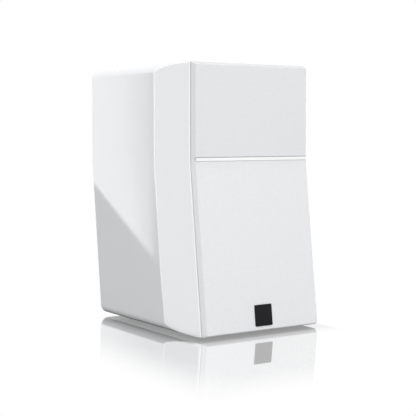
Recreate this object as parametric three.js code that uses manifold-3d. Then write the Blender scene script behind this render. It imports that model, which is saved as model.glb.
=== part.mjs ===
// Two-way bookshelf loudspeaker with its grille on. Millimetres; X to the right seen from the front,
// Y to the back, Z up. The front faces -Y. Heights are measured from the surface the feet stand on
// and depths from the upper front of the baffle. The group that is exported is shifted at the end,
// so that its origin is the middle of the whole object's footprint.
import * as THREE from "three";
import { mergeVertices } from "three/addons/utils/BufferGeometryUtils.js";
import Module from "manifold-3d";

const wasm = await Module();
wasm.setup();

// ---- Driving dimensions ----

// Cabinet
const CABINET_WIDTH = 228;
const CABINET_HEIGHT = 377;
const CABINET_DEPTH = 262;
const CORNER_RADIUS = 12.5; // of the four long edges
const EDGE_EASE = 1.5; // setback of the softened edges
const FACET_INSET = 12.2; // what each front facet takes off the front's half width
const FACET_DEPTH = 73.5; // how far back the facet runs
const BEND_DROP = 141; // from the top to the bend, below which the body leans forward
const BEND_BLEND = 12; // half the height over which the bend is eased
const LEAN_DEGREES = 6.8;
const WALL = 18;
const BAFFLE_THICKNESS = 25;
const REAR_THICKNESS = 18;
const INNER_RADIUS = 4; // of the cavity's corners
const BRACE_THICKNESS = 12; // of the window brace
const BRACE_RIM = 24;
const BRACE_WINDOW_RADIUS = 14;
const FOAM_WIDTH = 150;
const FOAM_LENGTH = 96;
const FOAM_THICKNESS = 14;
const FOAM_RIDGE = 5; // height of its ridges
const FOAM_PITCH = 16;
const FOAM_STEPS = 6; // in each ridge
const FOAM_SETBACK = 70; // from the baffle's face to the foam

// Feet
const FOOT_HEIGHT = 4;
const FOOT_RADIUS = 9;
const FOOT_EASE = 1;
const FOOT_SIDE_INSET = 46;
const FOOT_END_INSET = 50;

// Grille
const GRILLE_WIDTH = 199;
const GRILLE_THICKNESS = 9.2;
const GRILLE_BEVEL = 3.2; // how far its front is inset from its back outline
const GRILLE_CORNER = 3; // radius of its back outline
const GRILLE_FRONT_CORNER = 2;
const GRILLE_RAIL = 11.5;
const GRILLE_WINDOW_RADIUS = 3;
const CLOTH_THICKNESS = 0.8;
const BAR_RISE = 6.7; // from the bend to the middle of the trim bar
const BAR_WIDTH = 4.7;
const BAR_PROUD = 0.7;
const CROSS_RAIL = 20;
const BADGE_WIDTH = 29.5;
const BADGE_LENGTH = 30;
const BADGE_THICKNESS = 1.2;
const BADGE_RISE = 3.7; // from the lower edge of the grille's front
const BADGE_RADIUS = 1;
const MAGNET_RADIUS = 4;
const MAGNET_THICKNESS = 3;
const MAGNET_END_INSET = 16;

// Tweeter
const TWEETER_DROP = 64; // from the top to its middle
const TWEETER_PLATE_RADIUS = 52;
const TWEETER_PLATE_THICKNESS = 5;
const WAVEGUIDE_RADIUS = 35;
const WAVEGUIDE_STEPS = 6;
const WAVEGUIDE_LAND = 1; // thickness of the plate at the throat
const THROAT_RADIUS = 17;
const DOME_RADIUS = 12.7;
const DOME_RISE = 4.5;
const DOME_SKIN = 0.6;
const DOME_SEAT = 0.6; // from the back of the plate to the dome's edge
const TWEETER_COIL_LENGTH = 6;
const TWEETER_MAGNET_RADIUS = 36;
const TWEETER_MAGNET_BORE = 20;
const TWEETER_MAGNET_THICKNESS = 12;
const TWEETER_STEEL = 4; // top and pole plates
const TWEETER_STEEL_STEP = 4; // how much smaller they are than the magnet
const TWEETER_CLAMP = 1.2; // room behind the plate for the surround's rim
const TWEETER_RIM = 4; // width of that rim
const TWEETER_VENT_RADIUS = 3;
const TWEETER_CHAMBER_DEPTH = 18;
const TWEETER_CHAMBER_RADIUS = 32;
const TWEETER_CHAMBER_WALL = 2;
const TWEETER_CHAMBER_CHAMFER = 4;

// Woofer
const WOOFER_RISE = 116; // from the cabinet's bottom to its middle
const WOOFER_FLANGE_RADIUS = 83;
const WOOFER_FLANGE_THICKNESS = 5;
const FLANGE_LIP = 7; // its raised rim, outside the surround
const RIM_EASE = 0.8; // softened rims of the drivers' and vent's flanges
const BASKET_RADIUS = 72.5;
const BASKET_WALL = 3.5;
const BASKET_DEPTH = 51;
const BASKET_SHOULDER = 6; // straight part behind the flange
const BASKET_FLOOR = 3;
const BASKET_BORE_ROOM = 6; // round the coil
const BASKET_SPOKES = 6;
const BASKET_SPOKE_DEGREES = 15;
const MAGNET_SEAT_RADIUS = 45;
const SPIDER_SEAT_DEPTH = 36;
const SPIDER_SHELF = 4; // width of the shelf it is glued to
const SPIDER_SHELF_THICKNESS = 3;
const SPIDER_RADIUS = 52;
const SPIDER_WAVES = 3;
const SPIDER_WAVE_HEIGHT = 1.6;
const SPIDER_SKIN = 0.7;
const SPIDER_FLAT = 4; // plain rims inside and outside its waves
const CONE_RADIUS = 60;
const CONE_EDGE_DEPTH = 3.5;
const CONE_NECK_DEPTH = 27;
const CONE_SKIN = 0.9;
const CONE_STEPS = 4;
const CONE_CURVE = 0.88; // 1 would be a straight cone
const CONE_RIM = 3; // flat rim that the surround is glued to
const ROLL_RADIUS = 4.3;
const SURROUND_SKIN = 0.8;
const SURROUND_LIP = 3.2;
const DUST_CAP_RADIUS = 25;
const DUST_CAP_RISE = 7;
const FORMER_RADIUS = 19.2;
const FORMER_WALL = 0.5;
const FORMER_LENGTH = 35;
const WINDING_THICKNESS = 0.9;
const WINDING_LENGTH = 12;
const WOOFER_STEEL = 6; // top and pole plates
const WOOFER_PLATE_RADIUS = 50;
const WOOFER_MAGNET_RADIUS = 55;
const WOOFER_MAGNET_BORE = 30;
const WOOFER_MAGNET_THICKNESS = 18;
const POLE_GAP = 0.5; // between coil and steel
const POLE_VENT_RADIUS = 7;
const POLE_CHAMFER = 1;
const DRIVER_CLEARANCE = 2; // round a magnet in the baffle

// Rear vent
const PORT_DROP = 85; // from the top to its middle
const PORT_RADIUS = 25;
const PORT_WALL = 2.5;
const PORT_FLARE = 12; // radius of both flares
const PORT_LENGTH = 128;
const PORT_FLANGE = 5; // rim of the outer flare
const PORT_FLANGE_THICKNESS = 4;
const PORT_SOCKET = 14; // how deep the tube sits in the outer flare
const PORT_THROAT = 2; // from the flare's curve to the socket
const PORT_SHOULDER = 6; // of the moulding behind the flange

// Terminals
const TERMINAL_RISE = 101; // from the cabinet's bottom to its middle
const CUP_WIDTH = 76;
const CUP_LENGTH = 50;
const CUP_DEPTH = 21;
const CUP_DRAFT = 5; // how much smaller its floor is each side
const CUP_WALL = 2.5;
const CUP_FLANGE = 9;
const CUP_FLANGE_THICKNESS = 2.5;
const CUP_FLANGE_EASE = 1;
const CUP_RADIUS = 8;
const POST_SPACING = 19;
const POST_RADIUS = 3.5;
const POST_COLLAR_RADIUS = 7;
const POST_COLLAR_THICKNESS = 3;
const POST_WIRE_HOLE = 1.6;
const POST_LENGTH = 16;
const POST_TAIL = 8;
const POST_EASE = 0.5;
const POST_NUT_THICKNESS = 4;
const WASHER_RADIUS = 6.5;
const WASHER_THICKNESS = 1.4;
const KNOB_RADIUS = 7;
const KNOB_LENGTH = 14;
const KNOB_RIBS = 14;
const KNOB_RIB_HEIGHT = 0.5;
const KNOB_CROWN = 2; // plain band at its outer end
const KNOB_EASE = 1;
const BANANA_RADIUS = 2; // of the bore that a plug goes into
const BANANA_MOUTH = 0.4; // how much wider the knob's mouth is

// Crossover
const BOARD_WIDTH = 140;
const BOARD_LENGTH = 100;
const BOARD_THICKNESS = 1.6;
const BOARD_SETBACK = 78; // from the baffle's face, at the height of the board
const BOARD_RADIUS = 3;
const BOARD_MARGIN = 4; // behind the larger coil
const STANDOFF_HEIGHT = 7;
const STANDOFF_RADIUS = 4;
const STANDOFF_INSET = 8;
const STANDOFF_SIDES = 12;
const WOOFER_INDUCTOR_RADIUS = 22;
const TWEETER_INDUCTOR_RADIUS = 15;
const INDUCTOR_BORE = 1 / 3; // as a share of its radius
const LARGE_CAPACITOR_RADIUS = 10;
const LARGE_CAPACITOR_LENGTH = 42;
const SMALL_CAPACITOR_RADIUS = 7;
const SMALL_CAPACITOR_LENGTH = 30;
const RESISTOR_SIZE = 10;
const RESISTOR_LENGTH = 48;

// Clearances
const GLUE_GAP = 0.2; // between cabinet boards
const SEAT_GAP = 0.3; // between a piece and what it rests on
const RECESS_GAP = 0.4; // round a piece let into a board
const CLOTH_GAP = 0.15;
const OVERRUN = 5; // how far a cutter runs past what it cuts

// Smoothness
const ROUND = 28; // sides of a large turned piece
const SMALL_ROUND = 16; // and of a small one
const ARC = 4; // steps in a quarter or half round
const ROLL_STEPS = 5; // in the half round of the woofer's surround
const BEND_STEPS = 2;
const COARSE = 2; // steps in the rounding of a small edge
const WIRE_HOLE_SIDES = 12;
const NUT_SIDES = 6;

// ---- Values worked out from them ----

const LEAN = THREE.MathUtils.degToRad(LEAN_DEGREES);
const BOTTOM = FOOT_HEIGHT;
const TOP = FOOT_HEIGHT + CABINET_HEIGHT;
const MIDDLE = (BOTTOM + TOP) / 2;
const BEND_HEIGHT = TOP - BEND_DROP;
const BAR_HEIGHT = BEND_HEIGHT + BAR_RISE;
const TWEETER_HEIGHT = TOP - TWEETER_DROP;
const WOOFER_HEIGHT = BOTTOM + WOOFER_RISE;
const PORT_HEIGHT = TOP - PORT_DROP;
const TERMINAL_HEIGHT = BOTTOM + TERMINAL_RISE;
const HALF_WIDTH = CABINET_WIDTH / 2;
const CAVITY_WIDTH = CABINET_WIDTH - 2 * WALL;
const CAVITY_HEIGHT = CABINET_HEIGHT - 2 * WALL;
const CAVITY_FLOOR = BOTTOM + WALL;
const CAVITY_CEILING = TOP - WALL;
const FRONT = -1;
const REAR = 1;

// ---- Solids: geometry in, manifold out, and back to geometry ----

function toSolid(geometry) {
  const bare = new THREE.BufferGeometry();
  bare.setAttribute("position", geometry.getAttribute("position"));
  bare.setIndex(geometry.index);
  const merged = mergeVertices(bare);
  const corners = merged.index.array;
  const kept = [];
  for (let i = 0; i < corners.length; i += 3) {
    const [a, b, c] = [corners[i], corners[i + 1], corners[i + 2]];
    if (a !== b && b !== c && c !== a) kept.push(a, b, c);
  }
  const vertProperties = merged.attributes.position.array;
  const build = (list) =>
    new wasm.Manifold(new wasm.Mesh({ numProp: 3, vertProperties, triVerts: new Uint32Array(list) }));
  const solid = build(kept);
  if (solid.volume() >= 0) return solid;
  const turned = [];
  for (let i = 0; i < kept.length; i += 3) turned.push(kept[i], kept[i + 2], kept[i + 1]);
  return build(turned);
}

function toGeometry(solid) {
  const mesh = solid.getMesh();
  const geometry = new THREE.BufferGeometry();
  geometry.setAttribute("position", new THREE.BufferAttribute(mesh.vertProperties, 3));
  geometry.setIndex(new THREE.BufferAttribute(mesh.triVerts, 1));
  const faceted = geometry.toNonIndexed();
  faceted.computeVertexNormals();
  return faceted;
}

const join = (first, ...others) => others.reduce((whole, other) => whole.add(other), first);
const cut = (blank, ...cutters) => cutters.reduce((rest, cutter) => rest.subtract(cutter), blank);
const overlap = (first, ...others) => others.reduce((rest, other) => rest.intersect(other), first);

function placed(geometry, matrix) {
  return toSolid(geometry.clone().applyMatrix4(matrix));
}

function piece(name, solid, finish) {
  const mesh = new THREE.Mesh(toGeometry(solid), new THREE.MeshStandardMaterial(finish));
  mesh.name = name;
  return mesh;
}

// ---- Outlines ----

function roundedRectangle(width, height, radius, x = 0, y = 0) {
  const shape = new THREE.Shape();
  const [right, top] = [width / 2 - radius, height / 2 - radius];
  shape.absarc(x + right, y + top, radius, 0, Math.PI / 2);
  shape.absarc(x - right, y + top, radius, Math.PI / 2, Math.PI);
  shape.absarc(x - right, y - top, radius, Math.PI, 1.5 * Math.PI);
  shape.absarc(x + right, y - top, radius, 1.5 * Math.PI, 2 * Math.PI);
  shape.closePath();
  return shape;
}

// A polygon whose every corner is softened by a curve that starts one setback before it.
function easedPolygon(corners, setback) {
  const shape = new THREE.Shape();
  corners.forEach((corner, i) => {
    const before = corners[(i + corners.length - 1) % corners.length];
    const after = corners[(i + 1) % corners.length];
    const start = corner.clone().add(before.clone().sub(corner).setLength(setback));
    const end = corner.clone().add(after.clone().sub(corner).setLength(setback));
    if (i === 0) shape.moveTo(start.x, start.y);
    else shape.lineTo(start.x, start.y);
    shape.quadraticCurveTo(corner.x, corner.y, end.x, end.y);
  });
  shape.closePath();
  return shape;
}

// ---- Geometry of the plain forms ----

function box(low, high) {
  const size = high.map((value, i) => value - low[i]);
  const middle = high.map((value, i) => (value + low[i]) / 2);
  return new THREE.BoxGeometry(...size).translate(...middle);
}

// An outline in X and Z, run through from one depth to another.
function throughDepth(shape, front, back, curveSegments = ARC) {
  const settings = { depth: back - front, bevelEnabled: false, curveSegments };
  return new THREE.ExtrudeGeometry(shape, settings).rotateX(Math.PI / 2).translate(0, back, 0);
}

// An outline in X and Y, raised from one height to another.
function throughHeight(shape, low, high, curveSegments = ARC) {
  const settings = { depth: high - low, bevelEnabled: false, curveSegments };
  return new THREE.ExtrudeGeometry(shape, settings).translate(0, 0, low);
}

// An outline in Y and Z, run across the middle of the object.
function throughWidth(shape, width, curveSegments = ARC) {
  const settings = { depth: width, bevelEnabled: false, curveSegments };
  const geometry = new THREE.ExtrudeGeometry(shape, settings);
  return geometry.rotateX(Math.PI / 2).rotateZ(Math.PI / 2).translate(-width / 2, 0, 0);
}

// A profile of [radius, distance out], turned about the Y axis. Out is -Y on a piece that faces
// the front and +Y on one that faces the rear.
function turnedProfile(profile, facing = FRONT, segments = ROUND) {
  const onAxis = profile[0][0] === 0 && profile[profile.length - 1][0] === 0;
  const closed = onAxis ? profile : [...profile, profile[0]];
  const points = closed.map(([radius, out]) => new THREE.Vector2(radius, out));
  const geometry = new THREE.LatheGeometry(points, segments);
  return facing === FRONT ? geometry.rotateX(Math.PI) : geometry;
}

// The same, turned about the Z axis: [radius, height].
function uprightProfile(profile, segments = SMALL_ROUND) {
  return turnedProfile(profile, REAR, segments).rotateX(Math.PI / 2);
}

function ring(inner, outer, low, high, facing = FRONT, segments = ROUND) {
  const profile = [
    [inner, low],
    [outer, low],
    [outer, high],
    [inner, high],
  ];
  return turnedProfile(profile, facing, segments);
}

const smallRing = (inner, outer, low, high, facing) => ring(inner, outer, low, high, facing, SMALL_ROUND);

const smallTurned = (profile, facing) => toSolid(turnedProfile(profile, facing, SMALL_ROUND));

function arc(radius, out, size, from, to, steps = ARC) {
  return Array.from({ length: steps + 1 }, (_, i) => {
    const angle = from + ((to - from) * i) / steps;
    return [radius + size * Math.cos(angle), out + size * Math.sin(angle)];
  });
}

// A closed skin between rings of the same number of points, capped at both ends.
function loft(rings) {
  const count = rings[0].length;
  const positions = rings.flat().flatMap((point) => point.toArray());
  const index = [];
  for (let level = 0; level + 1 < rings.length; level += 1) {
    for (let i = 0; i < count; i += 1) {
      const [a, b] = [level * count + i, level * count + ((i + 1) % count)];
      index.push(a, b, b + count, a, b + count, a + count);
    }
  }
  const outline = rings[0].map((point) => new THREE.Vector2(point.x, point.z));
  const last = (rings.length - 1) * count;
  for (const [a, b, c] of THREE.ShapeUtils.triangulateShape(outline, [])) {
    index.push(a, c, b, last + a, last + b, last + c);
  }
  const geometry = new THREE.BufferGeometry();
  geometry.setAttribute("position", new THREE.Float32BufferAttribute(positions, 3));
  geometry.setIndex(index);
  return geometry;
}

// A rounded rectangle at one depth, as a ring for loft().
function ringAtDepth(width, height, radius, depth, z = 0) {
  const outline = roundedRectangle(width, height, radius, 0, z).getPoints(ARC);
  const points = outline.filter((point, i) => i === 0 || point.distanceTo(outline[i - 1]) > 1e-6);
  if (points[0].distanceTo(points[points.length - 1]) < 1e-6) points.pop();
  return points.map((point) => new THREE.Vector3(point.x, depth, point.y));
}

// ---- The bend: straight work is sliced at a few heights and each slice leans with the body ----

function leanShift(height) {
  const below = BEND_HEIGHT - height;
  const slope = Math.tan(LEAN);
  if (below <= -BEND_BLEND) return 0;
  if (below >= BEND_BLEND) return -below * slope;
  return (-slope * (below + BEND_BLEND) ** 2) / (4 * BEND_BLEND);
}

const bendHeights = Array.from(
  { length: BEND_STEPS + 1 },
  (_, i) => BEND_HEIGHT + BEND_BLEND * ((2 * i) / BEND_STEPS - 1),
);

function crossing(start, end, height) {
  const [low, high] = start.z < end.z ? [start, end] : [end, start];
  const point = low.clone().lerp(high, (height - low.z) / (high.z - low.z));
  point.z = height;
  return point;
}

function slicedTriangle(triangle, height) {
  const touching = 1e-4;
  const sides = triangle.map((point) => {
    const rise = point.z - height;
    return Math.abs(rise) < touching ? 0 : Math.sign(rise);
  });
  if (!sides.includes(1) || !sides.includes(-1)) return [triangle];
  const parts = { 1: [], [-1]: [] };
  triangle.forEach((point, i) => {
    const next = (i + 1) % 3;
    if (sides[i] >= 0) parts[1].push(point);
    if (sides[i] <= 0) parts[-1].push(point);
    if (sides[i] * sides[next] < 0) {
      const middle = crossing(point, triangle[next], height);
      parts[1].push(middle);
      parts[-1].push(middle);
    }
  });
  return [parts[1], parts[-1]].flatMap((polygon) =>
    polygon.slice(2).map((point, i) => [polygon[0], polygon[i + 1], point]),
  );
}

function bent(solid) {
  const faces = solid.getMesh();
  const vertex = (i) => new THREE.Vector3().fromArray(faces.vertProperties, 3 * i);
  let triangles = [];
  for (let i = 0; i < faces.triVerts.length; i += 3) {
    triangles.push([0, 1, 2].map((corner) => vertex(faces.triVerts[i + corner])));
  }
  for (const height of bendHeights) {
    triangles = triangles.flatMap((triangle) => slicedTriangle(triangle, height));
  }
  const positions = triangles.flat().flatMap(({ x, y, z }) => [x, y + leanShift(z), z]);
  const geometry = new THREE.BufferGeometry();
  geometry.setAttribute("position", new THREE.Float32BufferAttribute(positions, 3));
  return toSolid(geometry);
}

// A group whose own Y axis is square to the baffle or rear panel at the given height.
function leaningGroup(height, depth = 0) {
  const group = new THREE.Group();
  group.position.set(0, depth + leanShift(height), height);
  group.rotation.x = height < BEND_HEIGHT ? -LEAN : 0;
  group.updateMatrix();
  return group;
}

// ---- Finishes ----

const lacquer = () => ({ color: 0xf2f3f4, roughness: 0.08, metalness: 0 });
const board = () => ({ color: 0xb08d63, roughness: 0.85, metalness: 0 });
const foam = () => ({ color: 0x3a3b3d, roughness: 1, metalness: 0 });
const rubber = () => ({ color: 0x1d1e1f, roughness: 0.75, metalness: 0 });
const cloth = () => ({ color: 0xe9eaec, roughness: 0.95, metalness: 0 });
const whitePlastic = () => ({ color: 0xe4e6e8, roughness: 0.5, metalness: 0 });
const barPaint = () => ({ color: 0xfafafa, roughness: 0.25, metalness: 0 });
const blackPlastic = () => ({ color: 0x1b1c1e, roughness: 0.45, metalness: 0 });
const badgeBlack = () => ({ color: 0x2b2c30, roughness: 0.35, metalness: 0.2 });
const steel = () => ({ color: 0x9a9da1, roughness: 0.35, metalness: 1 });
const aluminium = () => ({ color: 0xc9cbce, roughness: 0.3, metalness: 1 });
const castBlack = () => ({ color: 0x26272a, roughness: 0.55, metalness: 0.4 });
const ferrite = () => ({ color: 0x2e2f31, roughness: 0.7, metalness: 0 });
const copper = () => ({ color: 0xb0653a, roughness: 0.35, metalness: 1 });
const brass = () => ({ color: 0xc9a653, roughness: 0.25, metalness: 1 });
const coneFibre = () => ({ color: 0x35363a, roughness: 0.6, metalness: 0 });
const kapton = () => ({ color: 0xb8803a, roughness: 0.4, metalness: 0 });
const spiderCloth = () => ({ color: 0xd9c27a, roughness: 0.95, metalness: 0 });
const circuitBoard = () => ({ color: 0x1e5a34, roughness: 0.5, metalness: 0 });
const ceramic = () => ({ color: 0xe8e6df, roughness: 0.8, metalness: 0 });
const film = () => ({ color: 0xd9b23c, roughness: 0.3, metalness: 0 });
const redPlastic = () => ({ color: 0xb3161c, roughness: 0.35, metalness: 0 });

// ---- Cabinet ----

// The whole outside of the cabinet, straight: plan outline with its facets, met by the rounded
// rectangle seen from the front.
function cabinetBlank() {
  const facetEnd = HALF_WIDTH - FACET_INSET;
  const plan = [
    [-facetEnd, 0],
    [facetEnd, 0],
    [HALF_WIDTH, FACET_DEPTH],
    [HALF_WIDTH, CABINET_DEPTH],
    [-HALF_WIDTH, CABINET_DEPTH],
    [-HALF_WIDTH, FACET_DEPTH],
  ].map(([x, y]) => new THREE.Vector2(x, y));
  const upright = throughHeight(easedPolygon(plan, EDGE_EASE), BOTTOM, TOP, COARSE);
  const outline = roundedRectangle(CABINET_WIDTH, CABINET_HEIGHT, CORNER_RADIUS, 0, MIDDLE);
  return overlap(toSolid(upright), toSolid(throughDepth(outline, -OVERRUN, CABINET_DEPTH + OVERRUN)));
}

function depthSlab(front, back) {
  const reach = CABINET_WIDTH;
  return toSolid(box([-reach, front, BOTTOM - OVERRUN], [reach, back, TOP + OVERRUN]));
}

function cavityOutline(clearance) {
  const [width, height] = [CAVITY_WIDTH - 2 * clearance, CAVITY_HEIGHT - 2 * clearance];
  return roundedRectangle(width, height, INNER_RADIUS, 0, MIDDLE);
}

function cabinetShell() {
  const cavity = throughDepth(cavityOutline(0), 0, CABINET_DEPTH + OVERRUN, COARSE);
  const walls = overlap(cabinetBlank(), depthSlab(BAFFLE_THICKNESS, CABINET_DEPTH));
  return piece("cabinet_shell", bent(cut(walls, toSolid(cavity))), lacquer());
}

function frontBaffle() {
  const blank = overlap(cabinetBlank(), depthSlab(0, BAFFLE_THICKNESS - GLUE_GAP));
  const depth = MAGNET_THICKNESS + SEAT_GAP;
  const pocket = smallRing(0, MAGNET_RADIUS + RECESS_GAP, -depth, OVERRUN);
  const pockets = magnetPlaces().map((place) => placed(pocket, magnetSeat(place).matrix));
  return piece("front_baffle", cut(bent(blank), tweeterHole(), wooferHole(), ...pockets), lacquer());
}

function rearPanel() {
  const depth = CABINET_DEPTH - REAR_THICKNESS;
  const blank = toSolid(throughDepth(cavityOutline(GLUE_GAP), depth, CABINET_DEPTH, COARSE));
  return piece("rear_panel", cut(bent(blank), portHole(), terminalHole()), lacquer());
}

// A board with two windows, midway between the woofer's basket and the vent.
function windowBrace() {
  const width = CAVITY_WIDTH - 2 * GLUE_GAP;
  const front = BAFFLE_THICKNESS + GLUE_GAP;
  const back = CABINET_DEPTH - REAR_THICKNESS - GLUE_GAP;
  const middle = (WOOFER_HEIGHT + BASKET_RADIUS + PORT_HEIGHT - flareMouth - PORT_FLANGE) / 2;
  const [low, high] = [middle - BRACE_THICKNESS / 2, middle + BRACE_THICKNESS / 2];
  const blank = toSolid(box([-width / 2, front, low], [width / 2, back, high]));
  const openWidth = width - 2 * BRACE_RIM;
  const openLength = (back - front - 3 * BRACE_RIM) / 2;
  const windows = [0, 1].map((i) => {
    const centre = front + BRACE_RIM + openLength / 2 + i * (openLength + BRACE_RIM);
    const outline = roundedRectangle(openWidth, openLength, BRACE_WINDOW_RADIUS, 0, centre);
    return toSolid(throughHeight(outline, low - OVERRUN, high + OVERRUN));
  });
  return piece("window_brace", bent(cut(blank, ...windows)), board());
}

// A ridged foam sheet under the top board.
function dampingFoam() {
  const shape = new THREE.Shape();
  const top = CAVITY_CEILING - SEAT_GAP;
  const [front, back] = [FOAM_SETBACK, FOAM_SETBACK + FOAM_LENGTH];
  const ridges = Math.round(FOAM_LENGTH / FOAM_PITCH);
  const steps = FOAM_STEPS * ridges;
  shape.moveTo(front, top);
  for (let i = 0; i <= steps; i += 1) {
    const ridge = (FOAM_RIDGE / 2) * (1 + Math.cos((2 * Math.PI * ridges * i) / steps));
    shape.lineTo(front + ((back - front) * i) / steps, top - FOAM_THICKNESS + ridge);
  }
  shape.lineTo(back, top);
  shape.closePath();
  return piece("damping_foam", toSolid(throughWidth(shape, FOAM_WIDTH)), foam());
}

function feet() {
  const x = HALF_WIDTH - FOOT_SIDE_INSET;
  const front = leanShift(BOTTOM) + FOOT_END_INSET;
  const back = leanShift(BOTTOM) + CABINET_DEPTH - FOOT_END_INSET;
  const places = {
    front_left: [-x, front],
    front_right: [x, front],
    rear_left: [-x, back],
    rear_right: [x, back],
  };
  const profile = [
    [0, 0],
    [FOOT_RADIUS - FOOT_EASE, 0],
    [FOOT_RADIUS, FOOT_EASE],
    [FOOT_RADIUS, FOOT_HEIGHT],
    [0, FOOT_HEIGHT],
  ];
  return Object.entries(places).map(([place, [footX, footY]]) => {
    const foot = piece("foot_" + place, toSolid(uprightProfile(profile)), rubber());
    foot.position.set(footX, footY, 0);
    return foot;
  });
}

// ---- Grille ----

const grilleFrontWidth = GRILLE_WIDTH - 2 * GRILLE_BEVEL;
const grilleFrontHeight = CABINET_HEIGHT - 2 * GRILLE_BEVEL;
const windowWidth = GRILLE_WIDTH - 2 * GRILLE_RAIL;

// The grille's outside, straight: a block whose sides draw in towards its front.
function grilleBlank() {
  const back = ringAtDepth(GRILLE_WIDTH, CABINET_HEIGHT, GRILLE_CORNER, -SEAT_GAP, MIDDLE);
  const [width, height, depth] = [grilleFrontWidth, grilleFrontHeight, -GRILLE_THICKNESS];
  const front = ringAtDepth(width, height, GRILLE_FRONT_CORNER, depth, MIDDLE);
  return toSolid(loft([front, back]));
}

function grilleWindow(low, high) {
  const outline = roundedRectangle(windowWidth, high - low, GRILLE_WINDOW_RADIUS, 0, (low + high) / 2);
  return toSolid(throughDepth(outline, -GRILLE_THICKNESS - OVERRUN, OVERRUN, COARSE));
}

function grilleWindows() {
  const [low, high] = [BAR_HEIGHT - CROSS_RAIL / 2, BAR_HEIGHT + CROSS_RAIL / 2];
  return [grilleWindow(BOTTOM + GRILLE_RAIL, low), grilleWindow(high, TOP - GRILLE_RAIL)];
}

function magnetPlaces() {
  const x = windowWidth / 2 + (GRILLE_RAIL - GRILLE_BEVEL / 2) / 2;
  const [low, high] = [BOTTOM + MAGNET_END_INSET, TOP - MAGNET_END_INSET];
  return [
    [-x, low],
    [x, low],
    [-x, high],
    [x, high],
  ];
}

function magnetSeat([x, height]) {
  const seat = leaningGroup(height);
  seat.position.x = x;
  seat.updateMatrix();
  return seat;
}

function grilleFrame() {
  const face = -(GRILLE_THICKNESS - CLOTH_THICKNESS - CLOTH_GAP);
  const blank = overlap(grilleBlank(), depthSlab(face, OVERRUN));
  const pocket = smallRing(0, MAGNET_RADIUS + RECESS_GAP, -OVERRUN, 2 * SEAT_GAP + MAGNET_THICKNESS);
  const pockets = magnetPlaces().map((place) => placed(pocket, magnetSeat(place).matrix));
  return piece("grille_frame", cut(bent(cut(blank, ...grilleWindows())), ...pockets), whitePlastic());
}

function grilleCloth(name, low, high) {
  const layer = overlap(grilleBlank(), depthSlab(-GRILLE_THICKNESS, CLOTH_THICKNESS - GRILLE_THICKNESS));
  const reach = GRILLE_WIDTH;
  const part = toSolid(box([-reach, -reach, low], [reach, reach, high]));
  return piece(name, bent(overlap(layer, part)), cloth());
}

function grilleBar() {
  const [low, high] = [BAR_HEIGHT - BAR_WIDTH / 2, BAR_HEIGHT + BAR_WIDTH / 2];
  const face = -(GRILLE_THICKNESS + BAR_PROUD);
  const back = CLOTH_THICKNESS - GRILLE_THICKNESS;
  const section = easedPolygon(
    [
      [face, low],
      [back, low],
      [back, high],
      [face, high],
    ].map(([y, z]) => new THREE.Vector2(y, z)),
    BAR_PROUD / 2,
  );
  return piece("grille_bar", bent(toSolid(throughWidth(section, grilleFrontWidth, COARSE))), barPaint());
}

function grilleBadge() {
  const low = BOTTOM + GRILLE_BEVEL + BADGE_RISE;
  const group = leaningGroup(low + (BADGE_LENGTH / 2) * Math.cos(LEAN));
  const face = GRILLE_THICKNESS * Math.cos(LEAN) + CLOTH_GAP;
  const ease = BADGE_THICKNESS / 3;
  const level = (inset, out) => {
    const [width, length] = [BADGE_WIDTH - 2 * inset, BADGE_LENGTH - 2 * inset];
    return ringAtDepth(width, length, BADGE_RADIUS - inset, -(face + out));
  };
  const rings = [level(ease, BADGE_THICKNESS), level(0, BADGE_THICKNESS - ease), level(0, 0)];
  group.add(piece("grille_badge", toSolid(loft(rings)), badgeBlack()));
  return group;
}

function magnets() {
  const names = ["lower_left", "lower_right", "upper_left", "upper_right"];
  return magnetPlaces().flatMap((place, i) => {
    const [inFrame, inBaffle] = [magnetSeat(place), magnetSeat(place)];
    const disc = (from) => toSolid(smallRing(0, MAGNET_RADIUS, from, from + MAGNET_THICKNESS));
    inFrame.add(piece("grille_magnet_" + names[i], disc(1.5 * SEAT_GAP), steel()));
    inBaffle.add(piece("baffle_magnet_" + names[i], disc(-MAGNET_THICKNESS), steel()));
    return [inFrame, inBaffle];
  });
}

function grille() {
  const gap = CLOTH_GAP + BAR_WIDTH / 2;
  const group = new THREE.Group();
  group.add(
    grilleFrame(),
    grilleCloth("grille_cloth_lower", BOTTOM, BAR_HEIGHT - gap),
    grilleCloth("grille_cloth_upper", BAR_HEIGHT + gap, TOP),
    grilleBar(),
    grilleBadge(),
    ...magnets(),
  );
  return group;
}

// ---- Tweeter: its group's Y axis is the driver's axis, 0 is the baffle's face, out is -Y ----

const tweeterPlateBack = -TWEETER_PLATE_THICKNESS;
const tweeterSteelFront = tweeterPlateBack - TWEETER_CLAMP;
const tweeterMagnetFront = tweeterSteelFront - TWEETER_STEEL - SEAT_GAP;
const tweeterPoleFront = tweeterMagnetFront - TWEETER_MAGNET_THICKNESS - SEAT_GAP;
const tweeterChamberFront = tweeterPoleFront - TWEETER_STEEL - SEAT_GAP;
const domeBase = tweeterPlateBack + DOME_SEAT;

function tweeterHole() {
  const through = -(BAFFLE_THICKNESS + OVERRUN);
  const hole = turnedProfile([
    [0, through],
    [TWEETER_MAGNET_RADIUS + DRIVER_CLEARANCE, through],
    [TWEETER_MAGNET_RADIUS + DRIVER_CLEARANCE, tweeterPlateBack - SEAT_GAP],
    [TWEETER_PLATE_RADIUS + RECESS_GAP, tweeterPlateBack - SEAT_GAP],
    [TWEETER_PLATE_RADIUS + RECESS_GAP, OVERRUN],
    [0, OVERRUN],
  ]);
  return placed(hole, leaningGroup(TWEETER_HEIGHT).matrix);
}

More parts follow.
